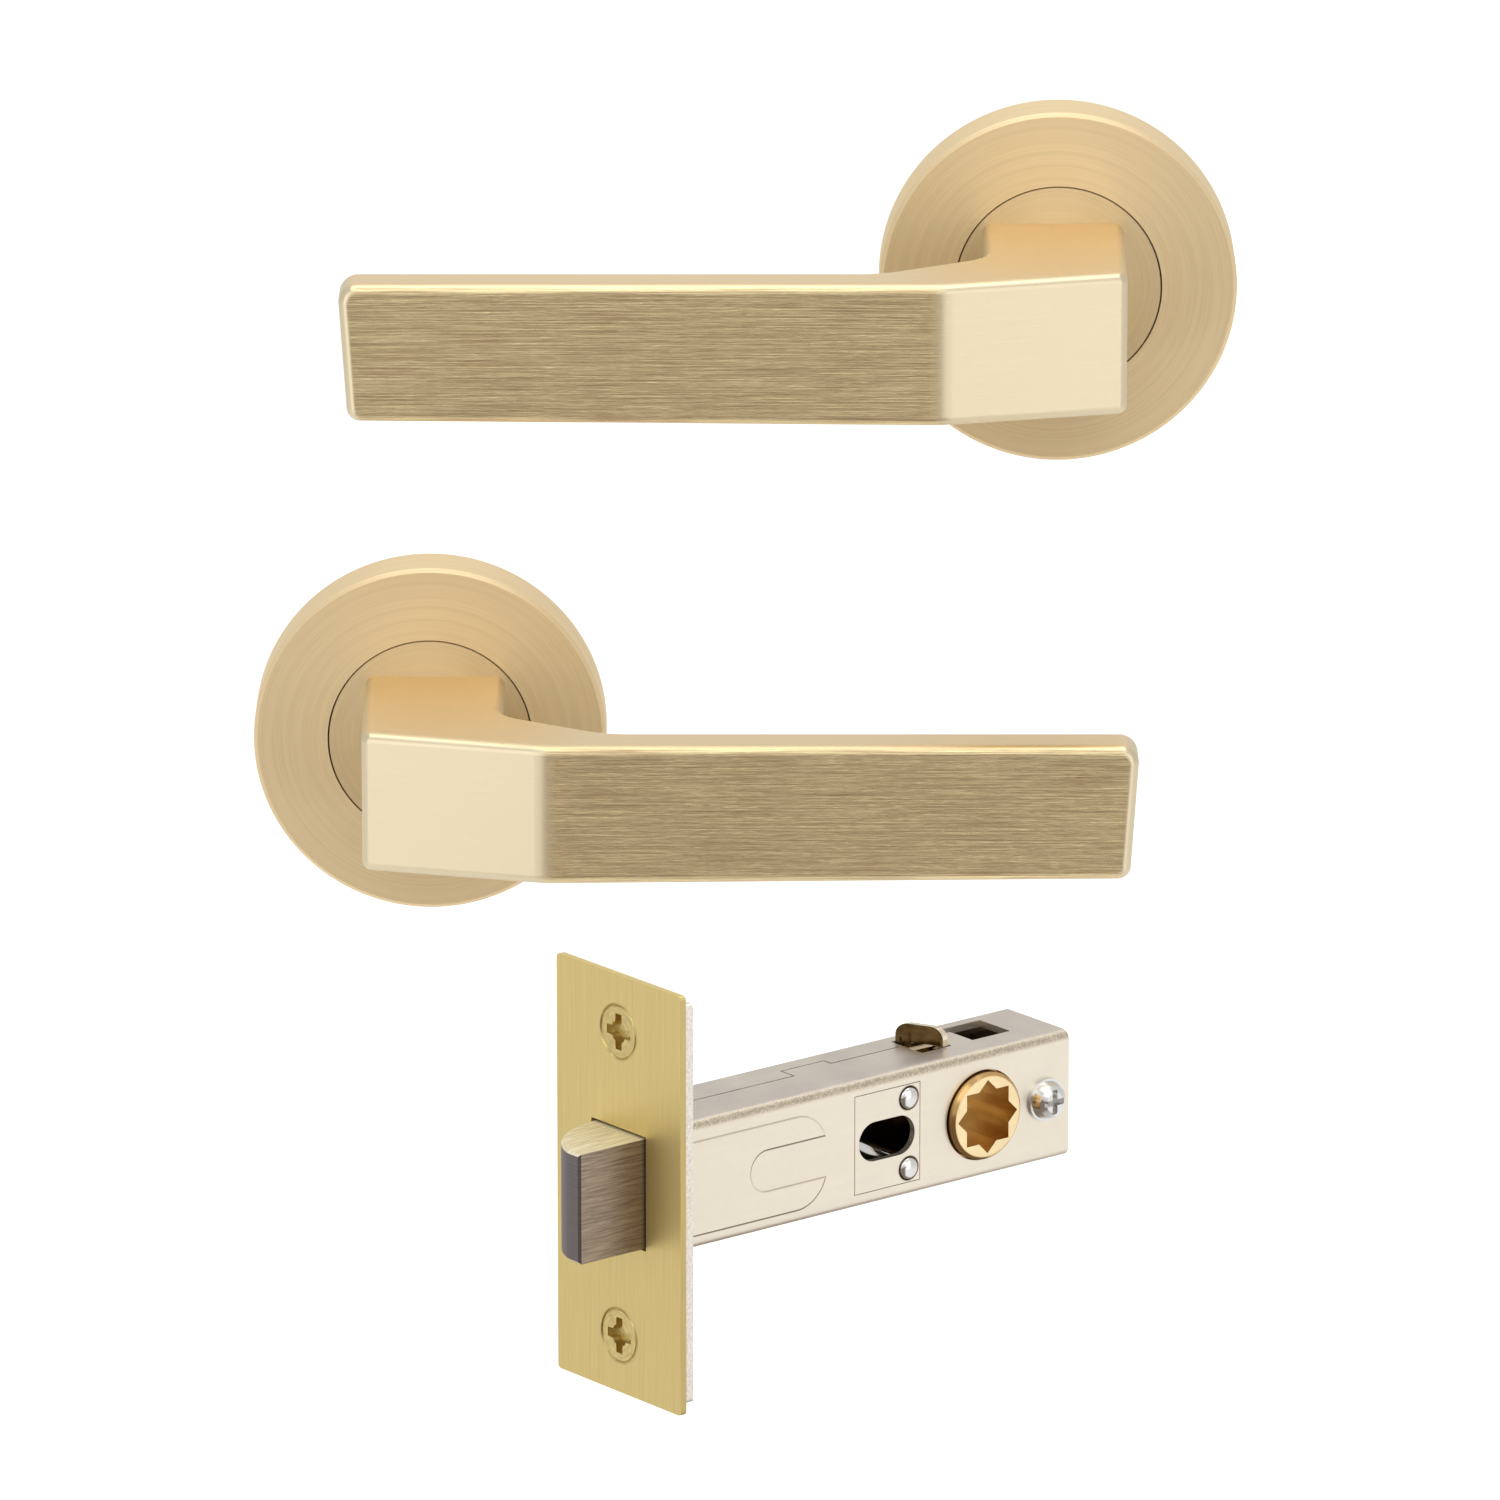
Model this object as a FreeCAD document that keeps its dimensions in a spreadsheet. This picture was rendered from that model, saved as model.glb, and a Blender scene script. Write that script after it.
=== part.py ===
import FreeCAD, Part
import math
import os
from types import SimpleNamespace

import Sketcher

# Passage handle set: two lever handles on round roses and one tubular latch.
# +X is to the right, +Y goes into the door, +Z is up. The origin is the centre of
# the lower rose's back face. A handle's depths are measured from the door towards
# the viewer, so depth d lies at y = -d. The latch is drawn in its own frame, with
# x back from the faceplate's front, y across and z up, and turned as a whole.

# Driving dimensions, in millimetres and degrees
SIZES = [
    ("upper_x", 115.0, "upper handle's spindle axis, to the right of the lower one"),
    ("upper_y", -11.2, "upper handle's rose back, behind the lower one's where positive"),
    ("upper_z", 88.5, "upper handle's spindle axis, above the lower one"),
    ("latch_x", 40.7, "middle of the faceplate's front, to the right"),
    ("latch_y", -589.6, "middle of the faceplate's front, away from the door plane"),
    ("latch_z", 100.9, "middle of the faceplate's front, up"),
    ("latch_yaw", 39.0, "turn of the latch about the vertical, degrees"),
    ("running_gap", 0.05, "radial gap of a shaft in its bearing"),
    ("seat_gap", 0.05, "gap round a piece that is held in another"),
    ("moving_gap", 0.3, "gap between surfaces that move past each other"),
    ("rose_radius", 32.5, "outer radius of the rose cover"),
    ("rose_depth", 11.0, "depth of the rose cover from the door"),
    ("rose_wall", 1.2, "thickness of the cover's rim"),
    ("rose_face", 1.4, "thickness of the cover's front"),
    ("rose_edge", 0.7, "bevel of the cover's front edge"),
    ("base_thick", 3.0, "thickness of the rose base plate"),
    ("collar_radius", 12.4, "outer radius of the bearing collar"),
    ("collar_depth", 7.0, "front of the bearing collar from the door"),
    ("recess_radius", 12.9, "radius of the recess for the circlip, from the back"),
    ("recess_depth", 1.9, "depth of the recess for the circlip"),
    ("shank_radius", 9.0, "radius of the lever's shank"),
    ("shank_start", 0.3, "back end of the shank from the door"),
    ("clip_thick", 1.0, "thickness of the circlip"),
    ("clip_groove", 0.8, "depth of the circlip's groove in the shank"),
    ("clip_radius", 11.8, "outer radius of the circlip"),
    ("clip_angle", 300.0, "arc of the circlip, degrees"),
    ("disc_radius", 18.6, "radius of the lever's disc"),
    ("disc_thick", 2.4, "thickness of the lever's disc"),
    ("tab_radius", 17.6, "outer radius of the stop tab behind the disc"),
    ("tab_width", 2.4, "radial width of the stop tab"),
    ("tab_half_angle", 5.0, "half of the tab's arc, degrees"),
    ("tab_depth", 4.2, "back end of the tab from the door"),
    ("lever_drop", 50.0, "turn of the lever from rest to its lower stop, degrees"),
    ("stop_slack", 1.5, "free turn between the tab and a stop, degrees"),
    ("stop_arc", 10.0, "arc of each stop lug, degrees"),
    ("stop_front", 7.4, "front of the stop lugs from the door"),
    ("neck_outer", 11.8, "neck's outer side at the rose from the spindle axis"),
    ("neck_draft", 0.4, "draft of the neck's outer side over its length"),
    ("neck_inner", 13.8, "neck's inner side from the spindle axis"),
    ("neck_front", 52.4, "front of the neck's outer side from the door"),
    ("lever_front", 62.2, "front of the bar from the door"),
    ("lever_thick", 10.5, "thickness of the bar"),
    ("lever_length", 128.6, "tip of the bar from the spindle axis"),
    ("lever_half", 13.2, "top and bottom of the bar's front from the spindle axis"),
    ("root_top", 12.0, "top of the neck at the rose from the spindle axis"),
    ("tip_bottom", 12.0, "bottom of the bar at its tip from the spindle axis"),
    ("tip_slant", 0.85, "half of the tip's slant, the top being longer"),
    ("crease_x", 21.9, "start of the bar's flat front from the spindle axis"),
    ("bar_rear_x", 33.0, "start of the bar's flat back from the spindle axis"),
    ("neck_inner_depth", 38.5, "front of the neck's straight inner side"),
    ("elbow_radius", 9.0, "rounding where the neck's inner side leaves the neck"),
    ("rear_radius", 14.0, "rounding where the inner slope meets the bar"),
    ("crease_radius", 14.0, "rounding of the crease in the bar's front"),
    ("nose_radius", 2.0, "rounding of the neck's outer front edge"),
    ("tip_radius", 3.4, "rounding of the tip's upper corner"),
    ("tip_heel", 2.4, "rounding of the tip's lower corner"),
    ("lever_edge", 1.7, "rounding of the lever's long edges"),
    ("spindle_side", 7.6, "side of the square spindle"),
    ("spindle_socket", 26.0, "end of the spindle socket from the door"),
    ("spindle_reach", 55.0, "length of the spindle behind the door plane"),
    ("spindle_chamfer", 0.6, "chamfer of the spindle's ends"),
    ("grub_radius", 2.45, "radius of the grub screw"),
    ("grub_depth", 18.0, "grub screw's axis from the door"),
    ("grub_inset", 0.7, "grub screw's end below the lever's underside"),
    ("grub_key", 2.5, "hexagon key of the grub screw, across flats"),
    ("grub_key_depth", 2.2, "depth of the hexagon socket"),
    ("fixing_centres", 38.0, "distance between the through fixings"),
    ("post_radius", 3.9, "radius of the threaded fixing posts"),
    ("post_reach", 14.0, "length of the posts behind the door plane"),
    ("thread_radius", 1.7, "radius of the threaded holes in the posts"),
    ("fixing_radius", 2.0, "radius of the through bolts"),
    ("fixing_shoulder", 2.3, "radius of the through bolts in the base plate"),
    ("fixing_step", 0.6, "end of the through bolts' shoulder behind the door plane"),
    ("fixing_reach", 38.0, "length of the through bolts behind the door plane"),
    ("fixing_head", 3.6, "radius of the through bolts' heads"),
    ("fixing_head_thick", 2.4, "thickness of the through bolts' heads"),
    ("face_height", 61.0, "height of the faceplate"),
    ("face_width", 27.6, "width of the faceplate"),
    ("face_thick", 1.0, "thickness of the faceplate"),
    ("face_corner", 0.6, "rounding of the faceplate's corners"),
    ("back_height", 58.0, "height of the back plate"),
    ("back_width", 27.0, "width of the back plate"),
    ("back_thick", 1.5, "thickness of the back plate"),
    ("screw_centres", 44.4, "distance between the faceplate screws"),
    ("screw_head", 4.0, "radius of the faceplate screws' heads"),
    ("screw_shank", 2.0, "radius of the faceplate screws' shanks"),
    ("screw_length", 9.0, "length of the faceplate screws"),
    ("cross_length", 4.6, "length of the cross in a faceplate screw"),
    ("cross_width", 1.1, "width of the cross in a faceplate screw"),
    ("cross_depth", 1.4, "depth of the cross in a faceplate screw"),
    ("case_width", 14.7, "width of the case"),
    ("case_height", 18.7, "height of the case"),
    ("case_wall", 1.0, "thickness of the case's sheet"),
    ("case_end", 76.0, "rear end of the case from the faceplate's front"),
    ("case_edge", 1.4, "rounding of the case's long edges"),
    ("backset", 60.0, "hub centre from the faceplate's front"),
    ("panel_end", 31.4, "rear end of the pressed panel"),
    ("panel_top", 6.4, "top of the pressed panel above the middle"),
    ("panel_bottom", 7.3, "bottom of the pressed panel below the middle"),
    ("panel_raise", 0.15, "height of the pressed panel"),
    ("panel_round", 5.4, "rounding of the pressed panel's rear corners"),
    ("notch_start", 20.7, "centre of the panel notch's round end"),
    ("notch_radius", 3.05, "radius of the panel notch's round end"),
    ("notch_drop", 0.35, "panel notch's middle below the case's middle"),
    ("bolt_width", 11.5, "width of the latch bolt"),
    ("bolt_height", 16.0, "height of the latch bolt"),
    ("bolt_throw", 11.5, "length of the latch bolt in front of the faceplate"),
    ("bolt_rear", 14.0, "rear face of the latch bolt"),
    ("bolt_tip", 2.6, "width of the flat at the bolt's tip"),
    ("bolt_bevel_radius", 12.3, "radius of the bolt's bevelled side"),
    ("bolt_edge", 0.35, "rounding of the bolt's edges"),
    ("bolt_gap", 0.35, "gap round the bolt in the plates"),
    ("stud_radius", 1.9, "radius of the bolt's rear stud"),
    ("stud_length", 1.9, "length of the bolt's rear stud"),
    ("slide_thick", 0.9, "thickness of the retractor's sheet"),
    ("slide_half_height", 8.05, "outer face of the retractor's arms"),
    ("slide_half_width", 4.0, "half the width of the retractor's arms"),
    ("slide_end", 64.0, "rear end of the retractor's arms"),
    ("window_start", 43.4, "front end of the windows for the hub's lobes"),
    ("window_half_width", 2.4, "half the width of the windows for the hub's lobes"),
    ("ear_start", 53.3, "front of the retractor's ear"),
    ("ear_length", 2.2, "length of the ear's stem along the case"),
    ("ear_thick", 0.9, "thickness of the ear's sheet"),
    ("ear_rise", 3.0, "height of the ear above the case"),
    ("ear_slant", 3.2, "near end of the ear behind its far end"),
    ("ear_near", 2.7, "near end of the ear's leaf from the middle"),
    ("ear_round", 1.8, "rounding of the ear's upper corners"),
    ("hub_bearing", 6.4, "radius of the hub's ends"),
    ("hub_clearance", 0.25, "gap round the hub's ends in the case"),
    ("hub_barrel", 6.9, "radius of the hub inside the case"),
    ("hub_proud", 1.15, "hub's ends outside the case"),
    ("hub_bevel", 0.45, "bevel of the hub's ends"),
    ("lobe_reach", 7.9, "reach of the hub's lobes from its axis"),
    ("lobe_half_thick", 1.5, "half the thickness of a lobe"),
    ("lobe_half_width", 2.0, "half the width of a lobe"),
    ("star_side", 7.7, "side of each square of the hub's star bore"),
    ("slot_centre", 42.4, "centre of the fixing slot"),
    ("slot_length", 10.2, "length of the fixing slot"),
    ("slot_height", 5.8, "height of the fixing slot"),
    ("patch_start", 36.5, "front end of the slot plate's window"),
    ("patch_end", 48.5, "rear end of the slot plate's window"),
    ("patch_half_height", 7.3, "half the height of the slot plate's window"),
    ("patch_gap", 0.1, "gap round the slot plate in its window"),
    ("rivet_x", 46.4, "rivets from the faceplate's front"),
    ("rivet_z", 5.2, "rivets from the middle"),
    ("rivet_radius", 1.55, "radius of the rivets"),
    ("rivet_hole_gap", 0.2, "gap round the rivets"),
    ("rivet_proud", 0.45, "rivet ends outside the case"),
    ("block_start", 69.2, "front of the rear block"),
    ("block_inset", 0.4, "rear block's end inside the case's end"),
    ("rear_screw_x", 71.6, "rear screw from the faceplate's front"),
    ("rear_screw_head", 3.15, "radius of the rear screw's head"),
    ("rear_screw_rise", 2.2, "height of the rear screw's head"),
    ("rear_screw_shank", 1.5, "radius of the rear screw's shank"),
    ("rear_screw_rim", 0.5, "thickness of the rear screw's rim"),
    ("rear_screw_crown", 1.5, "radius of the rear screw's flat crown"),
    ("rear_screw_slope", 2.35, "radius where the rear screw's crown turns down"),
    ("rear_screw_foot", 2.8, "radius of the rear screw's crown at the rim"),
    ("rear_screw_fall", 0.45, "fall of the crown from its middle to the slope"),
    ("rear_cross_length", 3.6, "length of the cross in the rear screw"),
    ("rear_cross_width", 0.9, "width of the cross in the rear screw"),
    ("rear_cross_depth", 1.5, "depth of the cross in the rear screw"),
    ("rear_screw_depth", 3.0, "end of the rear screw beyond the case's middle"),
    ("mouth_start", 52.9, "front end of the top opening"),
    ("mouth_end", 58.4, "rear end of the top opening"),
    ("mouth_near", 2.4, "near edge of the top opening from the middle"),
    ("mouth_far", 4.5, "far edge of the top opening from the middle"),
    ("track_width", 1.7, "width of the slot that the ear's stem runs in"),
    ("hatch_start", 62.4, "front end of the square top hole"),
    ("hatch_end", 69.4, "rear end of the square top hole"),
    ("seam_gap", 0.25, "gap of the case's seam"),
    ("seam_front", 0.6, "seam near the faceplate, from the middle"),
    ("seam_step", 3.5, "seam's jog, from the middle"),
    ("seam_rear", 1.9, "seam behind the jog, from the middle"),
    ("jog_start", 32.0, "front end of the seam's jog"),
    ("jog_end", 39.8, "rear end of the seam's jog"),
    ("hatch_near", 2.2, "near edge of the square top hole from the middle"),
    ("overcut", 1.0, "reach of a cut beyond the faces that it passes"),
]

doc = FreeCAD.newDocument("PassageHandleSet")
sheet = doc.addObject("Spreadsheet::Sheet", "dims")


class Size:
    """A length or angle: the number that it has now, and the expression that gives it."""

    def __init__(self, value, text):
        self.value = value
        self.text = text

    def __add__(self, other):
        other = as_size(other)
        return Size(self.value + other.value, f"({self.text} + {other.text})")

    def __sub__(self, other):
        other = as_size(other)
        return Size(self.value - other.value, f"({self.text} - {other.text})")

    def __mul__(self, other):
        other = as_size(other)
        return Size(self.value * other.value, f"({self.text} * {other.text})")

    def __truediv__(self, other):
        other = as_size(other)
        return Size(self.value / other.value, f"({self.text} / {other.text})")

    def __neg__(self):
        return Size(-self.value, f"(-1 * {self.text})")

    def __rsub__(self, other):
        return as_size(other) - self

    __radd__ = __add__
    __rmul__ = __mul__


def as_size(number):
    if isinstance(number, Size):
        return number
    return Size(float(number), f"({number})")


def cosine(angle):
    return Size(math.cos(math.radians(angle.value)), f"cos({angle.text} * 1deg)")


def sine(angle):
    return Size(math.sin(math.radians(angle.value)), f"sin({angle.text} * 1deg)")


def fill_sheet():
    """Puts the driving dimensions in the sheet and gives them back by name."""
    sizes = {}
    for row, (alias, value, note) in enumerate(SIZES, start=1):
        sheet.set(f"A{row}", note)
        sheet.set(f"B{row}", str(value))
        sheet.setAlias(f"B{row}", alias)
        sizes[alias] = Size(value, f"dims.{alias}")
    doc.recompute()
    return SimpleNamespace(**sizes)


S = fill_sheet()
ZERO = as_size(0)
FAR = as_size(200)

# Bodies, sketches and features


def new_body(label, x=ZERO, y=ZERO, z=ZERO, yaw=ZERO):
    """An empty body, placed by the sheet."""
    body = doc.addObject("PartDesign::Body", label)
    body.Label = label
    body.Placement = FreeCAD.Placement(
        FreeCAD.Vector(x.value, y.value, z.value),
        FreeCAD.Rotation(FreeCAD.Vector(0, 0, 1), yaw.value),
    )
    for axis, place in (("x", x), ("y", y), ("z", z)):
        if place is not ZERO:
            body.setExpression(f"Placement.Base.{axis}", place.text)
    if yaw is not ZERO:
        body.setExpression("Placement.Rotation.Angle", yaw.text)
    return body


def latch_body(label):
    return new_body(label, S.latch_x, S.latch_y, S.latch_z, S.latch_yaw)


def new_sketch(body, role, offset=ZERO, turn=0):
    """A sketch on one of the body's origin planes, moved along the plane's normal."""
    plane = next(f for f in body.Origin.OriginFeatures if f.Role == role)
    sketch = body.newObject("Sketcher::SketchObject", f"{body.Label}_sketch")
    sketch.AttachmentSupport = [(plane, "")]
    sketch.MapMode = "FlatFace"
    sketch.AttachmentOffset = FreeCAD.Placement(
        FreeCAD.Vector(0, 0, offset.value), FreeCAD.Rotation(FreeCAD.Vector(0, 0, 1), turn)
    )
    sketch.setExpression("AttachmentOffset.Base.z", offset.text)
    return sketch


def pin_point(sketch, geometry, point, x, y):
    """Holds a point of the sketch at its distances from the origin."""
    for kind, place in (("DistanceX", x), ("DistanceY", y)):
        made = sketch.addConstraint(
            Sketcher.Constraint(kind, -1, 1, geometry, point, place.value)
        )
        sketch.setExpression(f"Constraints[{made}]", place.text)


def draw_circle(sketch, x, y, radius):
    centre = FreeCAD.Vector(x.value, y.value, 0)
    circle = Part.Circle(centre, FreeCAD.Vector(0, 0, 1), radius.value)
    drawn = sketch.addGeometry(circle, False)
    made = sketch.addConstraint(Sketcher.Constraint("Radius", drawn, radius.value))
    sketch.setExpression(f"Constraints[{made}]", radius.text)
    pin_point(sketch, drawn, 3, x, y)


def draw_polygon(sketch, corners):
    """A closed outline of straight lines through the corners."""
    ends = [FreeCAD.Vector(x.value, y.value, 0) for x, y in corners]
    lines = []
    for start, end in zip(ends, ends[1:] + ends[:1]):
        lines.append(sketch.addGeometry(Part.LineSegment(start, end), False))
    for line, following in zip(lines, lines[1:] + lines[:1]):
        sketch.addConstraint(Sketcher.Constraint("Coincident", line, 2, following, 1))
    for line, (x, y) in zip(lines, corners):
        pin_point(sketch, line, 1, x, y)


def draw_rectangle(sketch, left, bottom, right, top):
    draw_polygon(sketch, [(left, bottom), (right, bottom), (right, top), (left, top)])


def extrude(body, kind, sketch, length):
    """A Pad or Pocket that reaches as far on both sides of its sketch."""
    feature = body.newObject(f"PartDesign::{kind}", f"{body.Label}_{kind.lower()}")
    feature.Profile = sketch
    feature.SideType = "Symmetric"
    feature.setExpression("Length", length.text)
    return feature


def layer(body, kind, role, low, high, draw):
    """A Pad or Pocket between two places along the plane's normal."""
    sketch = new_sketch(body, role, (low + high) / 2)
    draw(sketch)
    return extrude(body, kind, sketch, high - low)


def block(body, kind, role, low, high, left, bottom, right, top):
    return layer(
        body, kind, role, low, high,
        lambda sketch: draw_rectangle(sketch, left, bottom, right, top),
    )


def round_bar(body, kind, role, low, high, x, y, radius):
    return layer(
        body, kind, role, low, high, lambda sketch: draw_circle(sketch, x, y, radius)
    )


def lathe(body, kind, role, along, axis, profile, offset=ZERO, angle=None):
    """A Revolution or Groove. Each point of the profile is a place along the axis
    and a radius, and the axis runs horizontally or vertically in the sketch."""
    sketch = new_sketch(body, role, offset)
    if along == "horizontal":
        ends = (FreeCAD.Vector(0, axis.value, 0), FreeCAD.Vector(50, axis.value, 0))
        corners = [(place, axis + radius) for place, radius in profile]
    else:
        ends = (FreeCAD.Vector(axis.value, 0, 0), FreeCAD.Vector(axis.value, 50, 0))
        corners = [(axis + radius, place) for place, radius in profile]
    line = sketch.addGeometry(Part.LineSegment(*ends), True)
    sketch.addConstraint(Sketcher.Constraint(along.capitalize(), line))
    if along == "horizontal":
        pin_point(sketch, line, 1, ZERO, axis)
    else:
        pin_point(sketch, line, 1, axis, ZERO)
    draw_polygon(sketch, corners)
    feature = body.newObject(f"PartDesign::{kind}", f"{body.Label}_{kind.lower()}")
    feature.Profile = sketch
    feature.ReferenceAxis = (sketch, ["Axis0"])
    if angle is not None:
        feature.setExpression("Angle", angle.text)
    return feature


def round_edges(body, radius, wanted, kind="Fillet"):
    """Rounds or chamfers the edges of the body so far that pass the test."""
    doc.recompute()
    base = body.Tip
    names = [f"Edge{n}" for n, edge in enumerate(base.Shape.Edges, start=1) if wanted(edge)]
    feature = body.newObject(f"PartDesign::{kind}", f"{body.Label}_{kind.lower()}")
    feature.Base = (base, names)
    feature.setExpression("Size" if kind == "Chamfer" else "Radius", radius.text)
    return feature


def near(number, size, tolerance=0.01):
    return abs(number - size.value) < tolerance


def runs_along(edge, direction):
    """Is the edge a straight line along this axis?"""
    if edge.Curve.TypeId != "Part::GeomLine":
        return False
    return edge.Curve.Direction.cross(direction).Length < 1e-6


X_AXIS = FreeCAD.Vector(1, 0, 0)
Y_AXIS = FreeCAD.Vector(0, 1, 0)
Z_AXIS = FreeCAD.Vector(0, 0, 1)

# Sizes that follow from the driving ones

disc_back = S.rose_depth - S.disc_thick
bearing_bore = S.shank_radius + S.running_gap
clip_back = (S.recess_depth - S.clip_thick) - S.running_gap * 3
fixing_offset = S.fixing_centres / 2
bar_rear = S.lever_front - S.lever_thick
socket_half = S.spindle_side / 2 + S.seat_gap
plates_thick = S.face_thick + S.back_thick
case_half_width = S.case_width / 2
case_half_height = S.case_height / 2
inner_half_width = case_half_width - S.case_wall
inner_half_height = case_half_height - S.case_wall
bolt_half_width = S.bolt_width / 2
bolt_half_height = S.bolt_height / 2
web_back = S.bolt_rear + S.slide_thick
arm_inner = S.slide_half_height - S.slide_thick
filler_half_height = arm_inner - S.moving_gap
track_near = S.mouth_far - S.track_width


# Lever handle


def handle_body(side, name):
    if side == "upper":
        return new_body(f"{side}_{name}", S.upper_x, S.upper_y, S.upper_z)
    return new_body(f"{side}_{name}")


def sector(hand, inner, outer, start, end):
    """Four corners of an arc-shaped lug, with its angles from the lever's direction."""
    corners = []
    for radius, angle in ((inner, start), (outer, start), (outer, end), (inner, end)):
        corners.append((hand * radius * cosine(angle), radius * sine(angle)))
    return corners


def make_lever(side, hand):
    """One casting: bar, neck, disc and shank. hand is 1 for a lever that points right."""
    body = handle_body(side, "lever")
    half = S.lever_half
    outer_x = S.neck_draft - S.neck_outer
    outline = [
        (-S.neck_outer, S.rose_depth),
        (outer_x, S.neck_front),
        (S.crease_x, S.lever_front),
        (S.lever_length + S.tip_slant, S.lever_front),
        (S.lever_length + S.tip_slant, bar_rear),
        (S.bar_rear_x, bar_rear),
        (S.neck_inner, S.neck_inner_depth),
        (S.neck_inner, S.rose_depth),
    ]
    layer(
        body, "Pad", "XY_Plane", -half, half,
        lambda sketch: draw_polygon(sketch, [(hand * a, -d) for a, d in outline]),
    )
    top_draft = [
        (-S.rose_depth, S.root_top),
        (-S.rose_depth, half + S.overcut),
        (-S.lever_front, half + S.overcut),
        (-S.lever_front, half),
    ]
    layer(
        body, "Pocket", "YZ_Plane", -FAR, FAR, lambda sketch: draw_polygon(sketch, top_draft)
    )
    below = -half - S.overcut
    underside = [
        (-S.neck_outer - S.overcut, -half),
        (S.lever_length - S.tip_slant, -S.tip_bottom),
        (S.lever_length + S.tip_slant, half),
        (S.lever_length + S.tip_slant + S.overcut, half),
        (S.lever_length + S.tip_slant + S.overcut, below),
        (-S.neck_outer - S.overcut, below),
    ]
    layer(
        body, "Pocket", "XZ_Plane", -FAR, FAR,
        lambda sketch: draw_polygon(sketch, [(hand * a, z) for a, z in underside]),
    )

    def upright_at(place, depth):
        return lambda edge: (
            runs_along(edge, Z_AXIS)
            and near(edge.Vertexes[0].X, hand * place)
            and near(-edge.Vertexes[0].Y, depth)
        )

    round_edges(body, S.elbow_radius, upright_at(S.neck_inner, S.neck_inner_depth))
    round_edges(body, S.rear_radius, upright_at(S.bar_rear_x, bar_rear))
    round_edges(body, S.crease_radius, upright_at(S.crease_x, S.lever_front))
    round_edges(body, S.nose_radius, upright_at(outer_x, S.neck_front))
    tip_start = S.lever_length.value - 2 * S.tip_slant.value

    def tip_corner(sign):
        """The tip's corner edge that runs through the bar's thickness."""
        return lambda edge: (
            near(edge.BoundBox.YLength, S.lever_thick)
            and hand * edge.CenterOfMass.x > tip_start
            and sign * edge.CenterOfMass.z > 0
        )

    round_edges(body, S.tip_radius, tip_corner(1))
    round_edges(body, S.tip_heel, tip_corner(-1))

    def outline_edge(edge):
        skin = S.root_top.value - S.tip_radius.value - 0.1
        on_skin = all(abs(v.Z) > skin for v in edge.Vertexes)
        at_root = all(near(-v.Y, S.rose_depth) for v in edge.Vertexes)
        across = near(edge.BoundBox.YLength, S.lever_thick) and hand * edge.CenterOfMass.x > tip_start - 5
        upright = abs(edge.Vertexes[0].Z - edge.Vertexes[-1].Z) > half.value
        return on_skin and not at_root and not across and not upright

    round_edges(body, S.lever_edge, outline_edge)
    lathe(
        body, "Revolution", "XY_Plane", "vertical", ZERO,
        [
            (-S.rose_depth, ZERO),
            (-S.rose_depth, S.disc_radius),
            (-disc_back, S.disc_radius),
            (-disc_back, S.shank_radius),
            (-(clip_back + S.clip_thick + S.running_gap), S.shank_radius),
            (-(clip_back + S.clip_thick + S.running_gap), S.shank_radius - S.clip_groove),
            (-(clip_back - S.running_gap), S.shank_radius - S.clip_groove),
            (-(clip_back - S.running_gap), S.shank_radius),
            (-S.shank_start, S.shank_radius),
            (-S.shank_start, ZERO),
        ],
    )
    tab_start = 90 - S.tab_half_angle
    tab_end = 90 + S.tab_half_angle
    tab = sector(hand, S.tab_radius - S.tab_width, S.tab_radius, tab_start, tab_end)
    layer(
        body, "Pad", "XZ_Plane", S.tab_depth, disc_back + S.disc_thick / 2,
        lambda sketch: draw_polygon(sketch, tab),
    )
    block(
        body, "Pocket", "XZ_Plane", ZERO, S.spindle_socket,
        -socket_half, -socket_half, socket_half, socket_half,
    )
    round_bar(
        body, "Pocket", "XY_Plane", -half - S.overcut, -S.spindle_side / 4,
        ZERO, -S.grub_depth, S.grub_radius + S.seat_gap,
    )
    return body


def make_rose_cover(side):
    body = handle_body(side, "rose_cover")
    inner = S.rose_radius - S.rose_wall
    mouth = S.disc_radius + S.moving_gap
    lathe(
        body, "Revolution", "XY_Plane", "vertical", ZERO,
        [
            (ZERO, inner),
            (ZERO, S.rose_radius),
            (S.rose_edge - S.rose_depth, S.rose_radius),
            (-S.rose_depth, S.rose_radius - S.rose_edge),
            (-S.rose_depth, mouth),
            (-(S.rose_depth - S.rose_face), mouth),
            (-(S.rose_depth - S.rose_face), inner),
        ],
    )
    return body


def make_rose_base(side, hand, hole_radius):
    body = handle_body(side, "rose_base")
    rim = S.rose_radius - S.rose_wall - S.seat_gap
    lathe(
        body, "Revolution", "XY_Plane", "vertical", ZERO,
        [
            (ZERO, S.recess_radius),
            (ZERO, rim),
            (-S.base_thick, rim),
            (-S.base_thick, S.collar_radius),
            (-S.collar_depth, S.collar_radius),
            (-S.collar_depth, bearing_bore),
            (-S.recess_depth, bearing_bore),
            (-S.recess_depth, S.recess_radius),
        ],
    )
    lug_inner = S.tab_radius - S.tab_width
    clear_arc = S.tab_half_angle + S.stop_slack
    rest_stop = (90 + clear_arc, 90 + clear_arc + S.stop_arc)
    drop_stop = (
        90 - S.lever_drop - clear_arc - S.stop_arc,
        90 - S.lever_drop - clear_arc,
    )
    for start, end in (rest_stop, drop_stop):
        corners = sector(hand, lug_inner, S.tab_radius, start, end)
        layer(
            body, "Pad", "XZ_Plane", S.base_thick / 2, S.stop_front,
            lambda sketch, corners=corners: draw_polygon(sketch, corners),
        )
    for sign in (1, -1):
        round_bar(
            body, "Pocket", "XZ_Plane", -S.base_thick, 2 * S.base_thick,
            sign * fixing_offset, ZERO, hole_radius,
        )
    return body


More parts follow.
